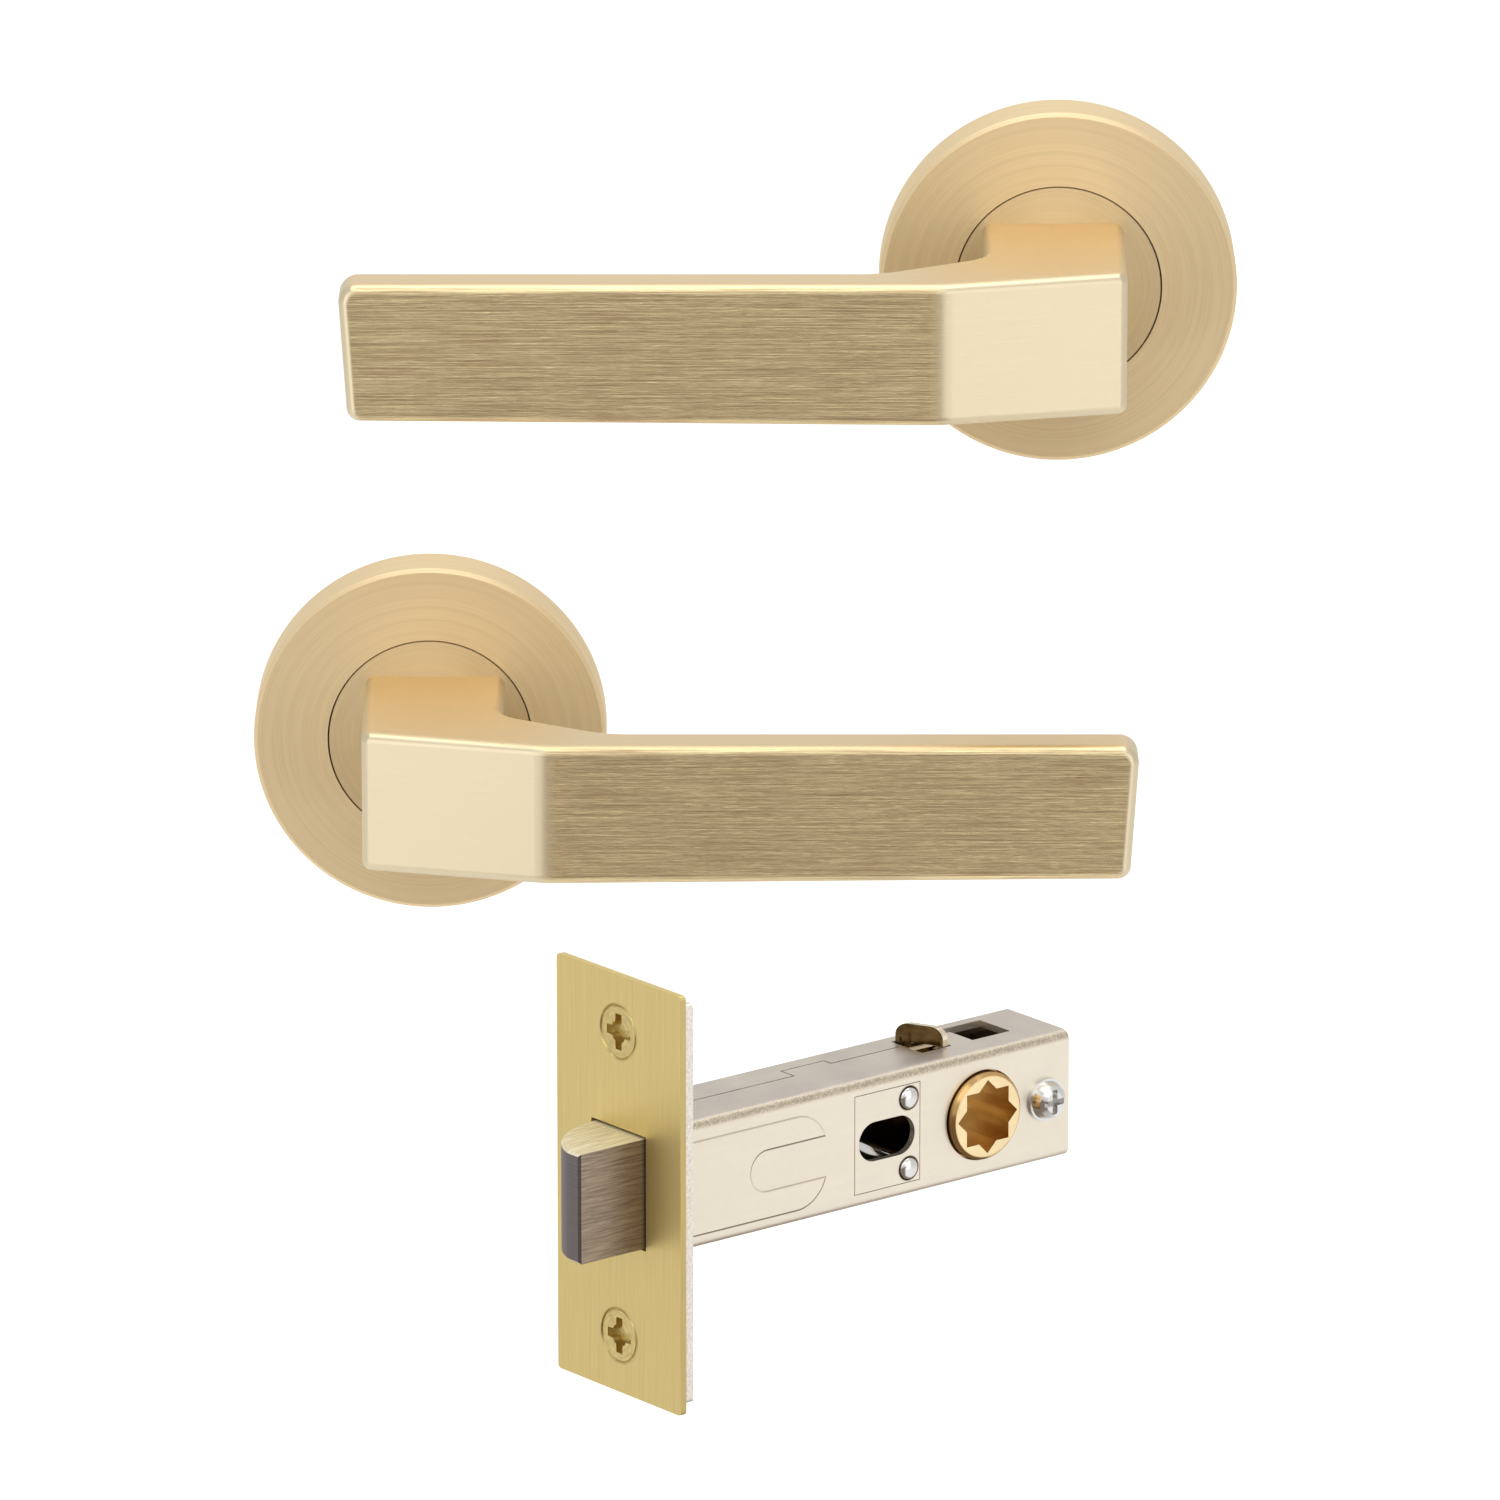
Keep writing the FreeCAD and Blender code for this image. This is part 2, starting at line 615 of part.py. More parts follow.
def make_circlip(side):
    body = handle_body(side, "circlip")
    inner = S.shank_radius - S.clip_groove + S.seat_gap
    front = clip_back + S.clip_thick
    lathe(
        body, "Revolution", "XY_Plane", "vertical", ZERO,
        [(-clip_back, inner), (-clip_back, S.clip_radius), (-front, S.clip_radius), (-front, inner)],
        angle=S.clip_angle,
    )
    return body


def make_grub_screw(side):
    body = handle_body(side, "grub_screw")
    low = S.grub_inset - S.lever_half
    round_bar(
        body, "Pad", "XY_Plane", low, -(S.spindle_side / 2 + S.seat_gap),
        ZERO, -S.grub_depth, S.grub_radius,
    )
    corner = S.grub_key / 2 / cosine(as_size(30))
    hexagon = []
    for step in range(6):
        angle = as_size(60 * step)
        hexagon.append((corner * cosine(angle), corner * sine(angle) - S.grub_depth))
    layer(
        body, "Pocket", "XY_Plane", low - S.overcut, low + S.grub_key_depth,
        lambda sketch: draw_polygon(sketch, hexagon),
    )
    return body


def make_handle(side, hand, fixing_hole):
    return [
        make_lever(side, hand),
        make_rose_cover(side),
        make_rose_base(side, hand, fixing_hole),
        make_circlip(side),
        make_grub_screw(side),
    ]


def make_fixing_posts():
    """Threaded sleeves riveted in the lower rose base, open at their free ends."""
    body = new_body("lower_fixing_posts")
    for sign in (1, -1):
        lathe(
            body, "Revolution", "XY_Plane", "vertical", sign * fixing_offset,
            [
                (S.post_reach, S.thread_radius),
                (S.post_reach, S.post_radius),
                (-S.base_thick, S.post_radius),
                (-S.base_thick, ZERO),
                (-S.base_thick / 2, ZERO),
                (-S.base_thick / 2, S.thread_radius),
            ],
        )
    return body


def make_fixing_bolts():
    """Through bolts in the upper rose base, with their heads under the rose cover."""
    body = handle_body("upper", "fixing_bolts")
    for sign in (1, -1):
        lathe(
            body, "Revolution", "XY_Plane", "vertical", sign * fixing_offset,
            [
                (S.fixing_reach, ZERO),
                (S.fixing_reach, S.fixing_radius),
                (S.fixing_step, S.fixing_radius),
                (S.fixing_step, S.fixing_shoulder),
                (-S.base_thick, S.fixing_shoulder),
                (-S.base_thick, S.fixing_head),
                (-(S.base_thick + S.fixing_head_thick), S.fixing_head),
                (-(S.base_thick + S.fixing_head_thick), ZERO),
            ],
        )
    return body


def make_spindle():
    """The square bar that joins the two levers through the latch's hub."""
    body = new_body("spindle")
    half = S.spindle_side / 2
    block(
        body, "Pad", "XZ_Plane", -S.spindle_reach, S.spindle_socket - S.seat_gap,
        -half, -half, half, half,
    )
    ends = (S.spindle_reach.value, -(S.spindle_socket - S.seat_gap).value)
    round_edges(
        body,
        S.spindle_chamfer,
        lambda edge: any(all(abs(v.Y - end) < 0.01 for v in edge.Vertexes) for end in ends),
        kind="Chamfer",
    )
    return body


# Tubular latch


def screw_axis(sign):
    return sign * S.screw_centres / 2


def make_plate(label, start, end, width, height):
    """A flat plate with the bolt's opening."""
    body = latch_body(label)
    block(
        body, "Pad", "YZ_Plane", start, end, -width / 2, -height / 2, width / 2, height / 2
    )
    round_edges(body, S.face_corner, lambda edge: runs_along(edge, X_AXIS))
    opening_y = bolt_half_width + S.bolt_gap
    opening_z = bolt_half_height + S.bolt_gap
    block(
        body, "Pocket", "YZ_Plane", start - S.overcut, end + S.overcut,
        -opening_y, -opening_z, opening_y, opening_z,
    )
    return body


def make_faceplate():
    """The brass front, countersunk for its two screws."""
    body = make_plate("faceplate", ZERO, S.face_thick, S.face_width, S.face_height)
    head = S.screw_head + S.seat_gap
    for sign in (1, -1):
        lathe(
            body, "Groove", "XZ_Plane", "horizontal", screw_axis(sign),
            [(ZERO, ZERO), (ZERO, head), (S.face_thick, head - S.face_thick), (S.face_thick, ZERO)],
        )
    return body


def make_back_plate():
    """The steel plate behind the faceplate, with plain holes round the screw heads."""
    body = make_plate("back_plate", S.face_thick, plates_thick, S.back_width, S.back_height)
    for sign in (1, -1):
        round_bar(
            body, "Pocket", "YZ_Plane", ZERO, plates_thick + S.overcut,
            ZERO, screw_axis(sign), S.screw_head - S.face_thick + S.seat_gap,
        )
    return body


def make_faceplate_screws():
    body = latch_body("faceplate_screws")
    for sign in (1, -1):
        lathe(
            body, "Revolution", "XZ_Plane", "horizontal", screw_axis(sign),
            [
                (ZERO, ZERO),
                (ZERO, S.screw_head),
                (S.screw_head - S.screw_shank, S.screw_shank),
                (S.screw_length, S.screw_shank),
                (S.screw_length, ZERO),
            ],
        )
        cut_cross(
            body, "YZ_Plane", -S.cross_depth, S.cross_depth,
            ZERO, screw_axis(sign), S.cross_length, S.cross_width,
        )
    return body


def cut_cross(body, role, low, high, x, y, length, width):
    """Two crossing slots, for a cross-head driver."""
    for across, up in ((length, width), (width, length)):
        block(
            body, "Pocket", role, low, high,
            x - across / 2, y - up / 2, x + across / 2, y + up / 2,
        )


def make_case():
    """Folded sheet tube with its openings and the pressed panels on both sides."""
    body = latch_body("latch_case")
    block(
        body, "Pad", "YZ_Plane", plates_thick, S.case_end,
        -case_half_width, -case_half_height, case_half_width, case_half_height,
    )
    round_edges(body, S.case_edge, lambda edge: runs_along(edge, X_AXIS))
    for low, high in (
        (case_half_width - S.case_wall / 2, case_half_width + S.panel_raise),
        (-case_half_width - S.panel_raise, -case_half_width + S.case_wall / 2),
    ):
        block(
            body, "Pad", "XZ_Plane", low, high,
            plates_thick, -S.panel_bottom, S.panel_end, S.panel_top,
        )
    panel_face = (case_half_width + S.panel_raise).value
    round_edges(
        body,
        S.panel_round,
        lambda edge: runs_along(edge, Y_AXIS)
        and near(edge.Vertexes[0].X, S.panel_end)
        and edge.BoundBox.YLength < S.case_wall.value
        and max(abs(v.Y) for v in edge.Vertexes) > panel_face - 0.01,
    )
    for low, high in (
        (case_half_width, case_half_width + S.overcut),
        (-case_half_width - S.overcut, -case_half_width),
    ):
        block(
            body, "Pocket", "XZ_Plane", low, high,
            S.notch_start, -S.notch_drop - S.notch_radius,
            S.panel_end + S.overcut, -S.notch_drop + S.notch_radius,
        )
        round_bar(
            body, "Pocket", "XZ_Plane", low, high,
            S.notch_start, -S.notch_drop, S.notch_radius,
        )
    block(
        body, "Pocket", "YZ_Plane", plates_thick - S.overcut, S.case_end + S.overcut,
        -inner_half_width, -inner_half_height, inner_half_width, inner_half_height,
    )
    block(
        body, "Pocket", "XZ_Plane", -S.case_width, S.case_width,
        S.patch_start, -S.patch_half_height, S.patch_end, S.patch_half_height,
    )
    round_bar(
        body, "Pocket", "XZ_Plane", -S.case_width, S.case_width,
        S.backset, ZERO, S.hub_bearing + S.hub_clearance,
    )
    round_bar(
        body, "Pocket", "XZ_Plane", ZERO, S.case_width,
        S.rear_screw_x, ZERO, S.rear_screw_shank + S.seat_gap,
    )
    half_gap = S.seam_gap / 2
    for left, near_y, right, far_y in (
        (
            plates_thick - S.overcut, S.seam_front - half_gap,
            S.jog_start, S.seam_front + half_gap,
        ),
        (
            S.jog_start - half_gap, S.seam_front - half_gap,
            S.jog_start + half_gap, S.seam_step + half_gap,
        ),
        (S.jog_start, S.seam_step - half_gap, S.jog_end, S.seam_step + half_gap),
        (
            S.jog_end - half_gap, S.seam_rear - half_gap,
            S.jog_end + half_gap, S.seam_step + half_gap,
        ),
        (
            S.jog_end, S.seam_rear - half_gap,
            S.mouth_start + S.overcut, S.seam_rear + half_gap,
        ),
        (S.mouth_start, -S.mouth_near, S.mouth_end, S.mouth_far),
        (S.mouth_end - S.overcut, track_near, S.hatch_start + S.overcut, S.mouth_far),
        (S.hatch_start, -S.hatch_near, S.hatch_end, S.mouth_far),
    ):
        block(
            body, "Pocket", "XY_Plane", ZERO, S.case_height, left, near_y, right, far_y
        )
    return body


def make_slot_plate(label, sign):
    """A plate flush with the case's side, with the fixing slot and two rivet holes."""
    body = latch_body(label)
    low, high = inner_half_width, case_half_width
    if sign < 0:
        low, high = -high, -low
    half = S.patch_half_height - S.patch_gap
    block(
        body, "Pad", "XZ_Plane", low, high,
        S.patch_start + S.patch_gap, -half, S.patch_end - S.patch_gap, half,
    )
    straight = S.slot_length / 2 - S.slot_height / 2
    block(
        body, "Pocket", "XZ_Plane", low - S.overcut, high + S.overcut,
        S.slot_centre - straight, -S.slot_height / 2,
        S.slot_centre + straight, S.slot_height / 2,
    )
    for end in (1, -1):
        round_bar(
            body, "Pocket", "XZ_Plane", low - S.overcut, high + S.overcut,
            S.slot_centre + end * straight, ZERO, S.slot_height / 2,
        )
        round_bar(
            body, "Pocket", "XZ_Plane", low - S.overcut, high + S.overcut,
            S.rivet_x, end * S.rivet_z, S.rivet_radius + S.rivet_hole_gap,
        )
    return body


def make_cross_rivets():
    body = latch_body("cross_rivets")
    end = case_half_width + S.rivet_proud
    for sign in (1, -1):
        round_bar(
            body, "Pad", "XZ_Plane", -end, end, S.rivet_x, sign * S.rivet_z, S.rivet_radius
        )
    return body


def make_hub():
    """Brass hub with its star bore and the two lobes that push the retractor."""
    body = latch_body("hub")
    shoulder = inner_half_width - S.hub_clearance
    end = case_half_width + S.hub_proud
    lathe(
        body, "Revolution", "XY_Plane", "vertical", S.backset,
        [
            (-end, ZERO),
            (-end, S.hub_bearing - S.hub_bevel),
            (S.hub_bevel - end, S.hub_bearing),
            (-shoulder, S.hub_bearing),
            (-shoulder, S.hub_barrel),
            (shoulder, S.hub_barrel),
            (shoulder, S.hub_bearing),
            (end - S.hub_bevel, S.hub_bearing),
            (end, S.hub_bearing - S.hub_bevel),
            (end, ZERO),
        ],
    )
    block(
        body, "Pad", "XZ_Plane", -S.lobe_half_width, S.lobe_half_width,
        S.backset - S.lobe_half_thick, -S.lobe_reach,
        S.backset + S.lobe_half_thick, S.lobe_reach,
    )
    half = S.star_side / 2
    diagonal = half * math.sqrt(2)
    block(
        body, "Pocket", "XZ_Plane", -S.case_width, S.case_width,
        S.backset - half, -half, S.backset + half, half,
    )
    diamond = [
        (S.backset + diagonal, ZERO),
        (S.backset, diagonal),
        (S.backset - diagonal, ZERO),
        (S.backset, -diagonal),
    ]
    layer(
        body, "Pocket", "XZ_Plane", -S.case_width, S.case_width,
        lambda sketch: draw_polygon(sketch, diamond),
    )
    return body


def make_latch_bolt():
    """Brass bolt: flat on the near side, a round bevel on the far side."""
    body = latch_body("latch_bolt")
    sketch = new_sketch(body, "XY_Plane")
    facet = S.bolt_tip - bolt_half_width
    corners = [
        (ZERO, bolt_half_width),
        (S.bolt_rear, bolt_half_width),
        (S.bolt_rear, -bolt_half_width),
        (-S.bolt_throw, -bolt_half_width),
        (-S.bolt_throw, facet),
    ]
    ends = [FreeCAD.Vector(x.value, y.value, 0) for x, y in corners]
    lines = []
    for start, end in zip(ends, ends[1:]):
        lines.append(sketch.addGeometry(Part.LineSegment(start, end), False))
    root, facet_end = ends[0], ends[-1]
    chord = root - facet_end
    radius = S.bolt_bevel_radius.value
    inward = FreeCAD.Vector(chord.y, -chord.x, 0).normalize()
    to_centre = math.sqrt(radius * radius - chord.Length * chord.Length / 4)
    centre = (root + facet_end) * 0.5 + inward * to_centre
    angles = [math.atan2(end.y - centre.y, end.x - centre.x) for end in (root, facet_end)]
    round_side = Part.Circle(centre, FreeCAD.Vector(0, 0, 1), radius)
    bevel = sketch.addGeometry(Part.ArcOfCircle(round_side, *angles), False)
    for line, following in zip(lines, lines[1:]):
        sketch.addConstraint(Sketcher.Constraint("Coincident", line, 2, following, 1))
    sketch.addConstraint(Sketcher.Constraint("Coincident", lines[-1], 2, bevel, 2))
    sketch.addConstraint(Sketcher.Constraint("Coincident", bevel, 1, lines[0], 1))
    for line, (x, y) in zip(lines, corners):
        pin_point(sketch, line, 1, x, y)
    pin_point(sketch, lines[-1], 2, *corners[-1])
    made = sketch.addConstraint(Sketcher.Constraint("Radius", bevel, radius))
    sketch.setExpression(f"Constraints[{made}]", S.bolt_bevel_radius.text)
    extrude(body, "Pad", sketch, S.bolt_height)
    round_edges(
        body,
        S.bolt_edge,
        lambda edge: edge.BoundBox.XMax < 0.1,
        kind="Chamfer",
    )
    round_bar(
        body, "Pad", "YZ_Plane", S.bolt_rear - S.overcut, S.bolt_rear + S.stud_length,
        ZERO, ZERO, S.stud_radius,
    )
    return body


def make_retractor():
    """Sheet bent to a U: a web on the bolt's rear and two arms that pass over and
    under the hub, with windows for its lobes and one ear that stands out on top."""
    body = latch_body("retractor")
    wide = S.slide_half_width
    block(
        body, "Pad", "YZ_Plane", S.bolt_rear, web_back,
        -wide, -S.slide_half_height, wide, S.slide_half_height,
    )
    for low, high in (
        (arm_inner, S.slide_half_height),
        (-S.slide_half_height, -arm_inner),
    ):
        block(
            body, "Pad", "XY_Plane", low, high, S.bolt_rear, -wide, S.slide_end, wide
        )
    window_end = S.backset + S.lobe_half_thick + S.moving_gap
    block(
        body, "Pocket", "XY_Plane", -S.case_height, S.case_height,
        S.window_start, -S.window_half_width, window_end, S.window_half_width,
    )
    round_bar(
        body, "Pocket", "YZ_Plane", ZERO, web_back + S.overcut, ZERO, ZERO,
        S.stud_radius + S.seat_gap,
    )
    ear_far = S.slide_half_width
    block(
        body, "Pad", "XZ_Plane", -ear_far, -(ear_far - S.ear_thick),
        S.ear_start, arm_inner, S.ear_start + S.ear_length, case_half_height + S.overcut,
    )
    leaf = [
        (S.ear_start, ear_far),
        (S.ear_start + S.ear_thick, ear_far),
        (S.ear_start + S.ear_slant + S.ear_thick, -S.ear_near),
        (S.ear_start + S.ear_slant, -S.ear_near),
    ]
    leaf_top = case_half_height + S.ear_rise
    layer(
        body, "Pad", "XY_Plane", case_half_height + S.moving_gap, leaf_top,
        lambda sketch: draw_polygon(sketch, leaf),
    )
    round_edges(
        body,
        S.ear_round,
        lambda edge: runs_along(edge, X_AXIS) and near(edge.Vertexes[0].Z, leaf_top),
    )
    return body


def make_rear_block():
    """Block that closes the rear of the case and takes the rear screw."""
    body = latch_body("rear_block")
    wide = inner_half_width - S.seat_gap
    block(
        body, "Pad", "YZ_Plane", S.block_start, S.case_end - S.block_inset,
        -wide, -filler_half_height, wide, filler_half_height,
    )
    round_bar(
        body, "Pocket", "XZ_Plane", -S.rear_screw_depth - S.overcut, S.case_width,
        S.rear_screw_x, ZERO, S.rear_screw_shank + S.seat_gap,
    )
    return body


def make_rear_screw():
    body = latch_body("rear_screw")
    seat = -case_half_width
    crown = seat - S.rear_screw_rise
    rim = seat - S.rear_screw_rim
    lathe(
        body, "Revolution", "XY_Plane", "vertical", S.rear_screw_x,
        [
            (crown, ZERO),
            (crown, S.rear_screw_crown),
            (crown + S.rear_screw_fall, S.rear_screw_slope),
            (rim, S.rear_screw_foot),
            (rim, S.rear_screw_head),
            (seat, S.rear_screw_head),
            (seat, S.rear_screw_shank),
            (S.rear_screw_depth, S.rear_screw_shank),
            (S.rear_screw_depth, ZERO),
        ],
    )
    cut_cross(
        body, "XZ_Plane", -crown - S.rear_cross_depth, -crown + S.overcut,
        S.rear_screw_x, ZERO, S.rear_cross_length, S.rear_cross_width,
    )
    return body


# The whole set

pieces = []
pieces += make_handle("lower", 1, S.post_radius + S.seat_gap)
pieces += make_handle("upper", -1, S.fixing_shoulder + S.seat_gap)
pieces += [
    make_fixing_posts(),
    make_fixing_bolts(),
    make_spindle(),
    make_faceplate(),
    make_back_plate(),
    make_faceplate_screws(),
    make_case(),
    make_slot_plate("near_slot_plate", 1),
    make_slot_plate("far_slot_plate", -1),
    make_cross_rivets(),
    make_hub(),
    make_latch_bolt(),
    make_retractor(),
    make_rear_block(),
    make_rear_screw(),
]
doc.recompute()

for item in doc.Objects:
    if "Invalid" in item.State or "Error" in item.State:
        raise RuntimeError(f"{item.Label} failed: {item.State}")
for piece in pieces:
    if piece.Shape.isNull() or not piece.Shape.isValid() or not piece.Shape.Solids:
        raise RuntimeError(f"{piece.Label} has no valid shape")

os.makedirs("parts", exist_ok=True)
for piece in pieces:
    piece.Shape.exportStep(os.path.join("parts", f"{piece.Label}.step"))
    print(f"{piece.Label}: {piece.Shape.Volume:.1f} mm3, solids {len(piece.Shape.Solids)}")
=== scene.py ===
import math

import bmesh
import bpy
from mathutils import Matrix, Vector


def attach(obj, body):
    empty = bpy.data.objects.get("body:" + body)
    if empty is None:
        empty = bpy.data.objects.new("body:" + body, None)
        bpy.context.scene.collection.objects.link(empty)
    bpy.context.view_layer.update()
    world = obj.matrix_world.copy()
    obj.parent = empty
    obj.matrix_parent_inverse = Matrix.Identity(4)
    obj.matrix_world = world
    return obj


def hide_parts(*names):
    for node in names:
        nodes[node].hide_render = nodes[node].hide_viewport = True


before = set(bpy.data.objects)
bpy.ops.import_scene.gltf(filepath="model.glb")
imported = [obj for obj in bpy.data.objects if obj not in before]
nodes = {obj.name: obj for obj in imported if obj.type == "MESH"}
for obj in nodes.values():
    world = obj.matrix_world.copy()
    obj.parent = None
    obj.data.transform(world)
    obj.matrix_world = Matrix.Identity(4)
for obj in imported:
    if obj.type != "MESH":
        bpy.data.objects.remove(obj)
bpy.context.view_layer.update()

MM = 0.001
QUARTER_TURN = math.radians(90)

# The levers' axes and the middle of the faceplate's front, in metres in the CAD's frame
LOWER_AXIS = (0.0, 0.0, 0.0)
UPPER_AXIS = (0.115, -0.0112, 0.0885)
LATCH_ORIGIN = (0.0407, -0.5896, 0.1009)
LATCH_YAW = math.radians(39)

# The y of a lever's disc front, counted from the point on the lever's axis
DISC_FRONT = -0.01105

# Places in metres in the latch's own frame: x back, y across and z up
SCREW_HEIGHT = 0.0222
RIVET_BACK = 0.0464
RIVET_HEIGHT = 0.0052
HUB_BACK = 0.060
HUB_RIM = 0.00575
INNER_HALF_WIDTH = 0.00636
INNER_HALF_HEIGHT = 0.00836

# The panel pressed into the case's sides and its round notch, in metres back and up the latch
PANEL_START = -0.010
PANEL_END = 0.0314
PANEL_TOP = 0.0064
PANEL_BOTTOM = -0.0073
PANEL_ROUND = 0.0054
NOTCH_START = 0.0207
NOTCH_MIDDLE = -0.00035
NOTCH_RADIUS = 0.00305

# The photograph's framing: pixels, a sensor in mm and a place in metres
PHOTO_SIDE = 1500
FOCAL_LENGTH = 12959
SENSOR = 36
PITCH = math.radians(16)
CAMERA_PLACE = (0.059, -2.3084, 0.6567)
CAMERA_REACH = 50.0

# The sRGB curve, which is straight at its foot
LEVELS = 255
FOOT_END = 0.04045
FOOT_SLOPE = 12.92
CURVE_OFFSET = 0.055
CURVE_POWER = 2.4


def linear(red, green, blue):
    """A colour given in levels from 0 to 255 as the shader's linear values."""
    out = []
    for level in (red, green, blue):
        share = level / LEVELS
        if share <= FOOT_END:
            out.append(share / FOOT_SLOPE)
        else:
            out.append(((share + CURVE_OFFSET) / (1 + CURVE_OFFSET)) ** CURVE_POWER)
    return (*out, 1.0)


# Colours from the photograph
BAR_BRASS = linear(236, 202, 158)
# Painted highlight on the levers' slanted faces
LIT_SLANT_BRASS = linear(224, 209, 177)
# Painted highlight on the levers' tops
LIT_TOP_BRASS = linear(243, 219, 174)
ROSE_BRASS = linear(236, 215, 175)
PLATE_BRASS = linear(219, 198, 136)
SCREW_BRASS = linear(206, 185, 124)
# Painted highlight on the bolt's top
BOLT_TOP_HIGHLIGHT = linear(254, 234, 200)
BOLT_SIDE = linear(174, 158, 140)
BOLT_SLOPE = linear(116, 108, 106)
HUB_FACE = linear(246, 223, 175)
# Painted shade on the hub's rim and in its bore
SHADED_HUB_RIM = linear(206, 167, 110)
SHADED_HUB_BORE = linear(206, 172, 116)
NICKEL = linear(235, 226, 209)
# Painted shade on the case's top
SHADED_TOP_NICKEL = linear(211, 201, 189)
BENT_NICKEL = linear(198, 185, 164)
# Painted shade inside the case
SHADED_INNER_NICKEL = linear(120, 104, 84)
# Painted shade along the pressed lines and round the rivets
PRESSED_LINE_SHADE = linear(126, 112, 94)
# Painted reflection on the retractor's faces
EAR_FACE_REFLECTION = linear(112, 92, 60)
# Painted highlight on the retractor's edges
EAR_EDGE_HIGHLIGHT = linear(236, 222, 196)
BACK_STEEL = linear(237, 228, 217)
ZINC = linear(178, 176, 174)
CHROME = linear(226, 225, 222)
SPRING_STEEL = linear(120, 120, 122)

# Shader building

ALONG_Y = (0.0, 1.0, 0.0)
ALONG_Z = (0.0, 0.0, 1.0)

# A Mix node's first input, second input and output for each kind of data
MIX_SOCKETS = {"FLOAT": (2, 3, 0), "VECTOR": (4, 5, 1), "RGBA": (6, 7, 2)}

# Kinds of noise, each by its detail and the roughness of the detail
LINE_NOISE = (4.0, 0.7)
WIDE_NOISE = (2.0, 0.6)
CLOUD_NOISE = (4.0, 0.6)
GRAIN_NOISE = (3.0, 0.6)
SPECKLE_NOISE = (3.0, 0.7)

# The spans of noise over which a tone or a roughness runs from one end to the other
LINE_SPAN = (0.36, 0.64)
ROUGH_SPAN = (0.32, 0.68)
CLOUD_SPAN = (0.3, 0.7)
SPECKLE_SPAN = (0.35, 0.65)
MIDDLE_TONE = 0.5

# The scale of the broad streaks against the fine ones, and how the roughness swings with them
WIDE_SCALE = 0.31
ROUGH_SWING = 0.05

# Keeps a tangent from vanishing where the brushing points straight out of the surface
TANGENT_NUDGE = (0.0010, 0.0013, 0.0017)


class Tree:
    """A short way to make a material's nodes and join them."""

    def __init__(self, name):
        self.material = bpy.data.materials.new(name)
        self.material.use_nodes = True
        self.nodes = self.material.node_tree.nodes
        self.links = self.material.node_tree.links
        self.nodes.clear()

    def add(self, kind, values=None, **settings):
        """Makes a node. A value is a number or colour to set, or a socket to link."""
        node = self.nodes.new(kind)
        for key, value in settings.items():
            setattr(node, key, value)
        for key, value in (values or {}).items():
            if isinstance(value, bpy.types.NodeSocket):
                self.links.new(value, node.inputs[key])
            else:
                node.inputs[key].default_value = value
        return node

    def math(self, operation, *values):
        return self.add("ShaderNodeMath", dict(enumerate(values)), operation=operation).outputs[0]

    def vector(self, operation, *values):
        node = self.add("ShaderNodeVectorMath", dict(enumerate(values)), operation=operation)
        return node.outputs[0]

    def length(self, vector):
        return self.add("ShaderNodeVectorMath", {0: vector}, operation="LENGTH").outputs["Value"]

    def scale(self, vector, factor):
        return self.vector("MULTIPLY", vector, (factor, factor, factor))

    def combine(self, x, y, z):
        return self.add("ShaderNodeCombineXYZ", {0: x, 1: y, 2: z}).outputs[0]

    def split(self, vector):
        return self.add("ShaderNodeSeparateXYZ", {0: vector}).outputs

    def noise(self, vector, detail, roughness):
        node = self.add(
            "ShaderNodeTexNoise",
            {"Vector": vector, "Scale": 1.0, "Detail": detail, "Roughness": roughness},
        )
        return node.outputs["Fac"]

    def ramp(self, value, low, high, to_low=0.0, to_high=1.0):
        """The value, taken from one span to another and held at the ends."""
        node = self.add(
            "ShaderNodeMapRange",
            {
                "Value": value,
                "From Min": low,
                "From Max": high,
                "To Min": to_low,
                "To Max": to_high,
            },
        )
        return node.outputs[0]

    def mix(self, kind, factor, first, second):
        """The first value where the factor is 0 and the second where it is 1."""
        start, end, result = MIX_SOCKETS[kind]
        values = {0: factor, start: first, end: second}
        return self.add("ShaderNodeMix", values, data_type=kind).outputs[result]

    def blend(self, factor, first, second):
        """Mixes two colours."""
        return self.mix("RGBA", factor, first, second)

    def choose(self, mask, first, second):
        """Mixes two numbers."""
        return self.mix("FLOAT", mask, first, second)

    def choose_point(self, mask, first, second):
        """Mixes two vectors."""
        return self.mix("VECTOR", mask, first, second)

    def place(self):
        """The surface point in the CAD's frame, carried by the piece as it moves."""
        return self.add("ShaderNodeTexCoord").outputs["Object"]

    def facing(self):
        """The surface's direction in the CAD's frame, carried by the piece as it moves."""
        return self.add("ShaderNodeTexCoord").outputs["Normal"]

    def into_latch(self, vector):
        """A direction in the CAD's frame, turned into the latch's own frame."""
        node = self.add(
            "ShaderNodeVectorRotate",
            {"Vector": vector, "Angle": -LATCH_YAW},
            rotation_type="Z_AXIS",
        )
        return node.outputs[0]

    def latch_place(self):
        """The surface point in the latch's own frame: x back, y across, z up."""
        return self.into_latch(self.vector("SUBTRACT", self.place(), LATCH_ORIGIN))

    def across(self, brushing):
        """The direction in the surface square to the brushing, given in the CAD's frame."""
        lines = self.add(
            "ShaderNodeVectorTransform",
            {0: brushing},
            vector_type="VECTOR",
            convert_from="OBJECT",
            convert_to="WORLD",
        )
        upright = self.add("ShaderNodeNewGeometry").outputs["Normal"]
        square = self.vector("CROSS_PRODUCT", upright, lines.outputs[0])
        return self.vector("ADD", square, TANGENT_NUDGE)

    def finish(self, shader):
        out = self.add("ShaderNodeOutputMaterial")
        self.links.new(shader, out.inputs["Surface"])
        return self.material


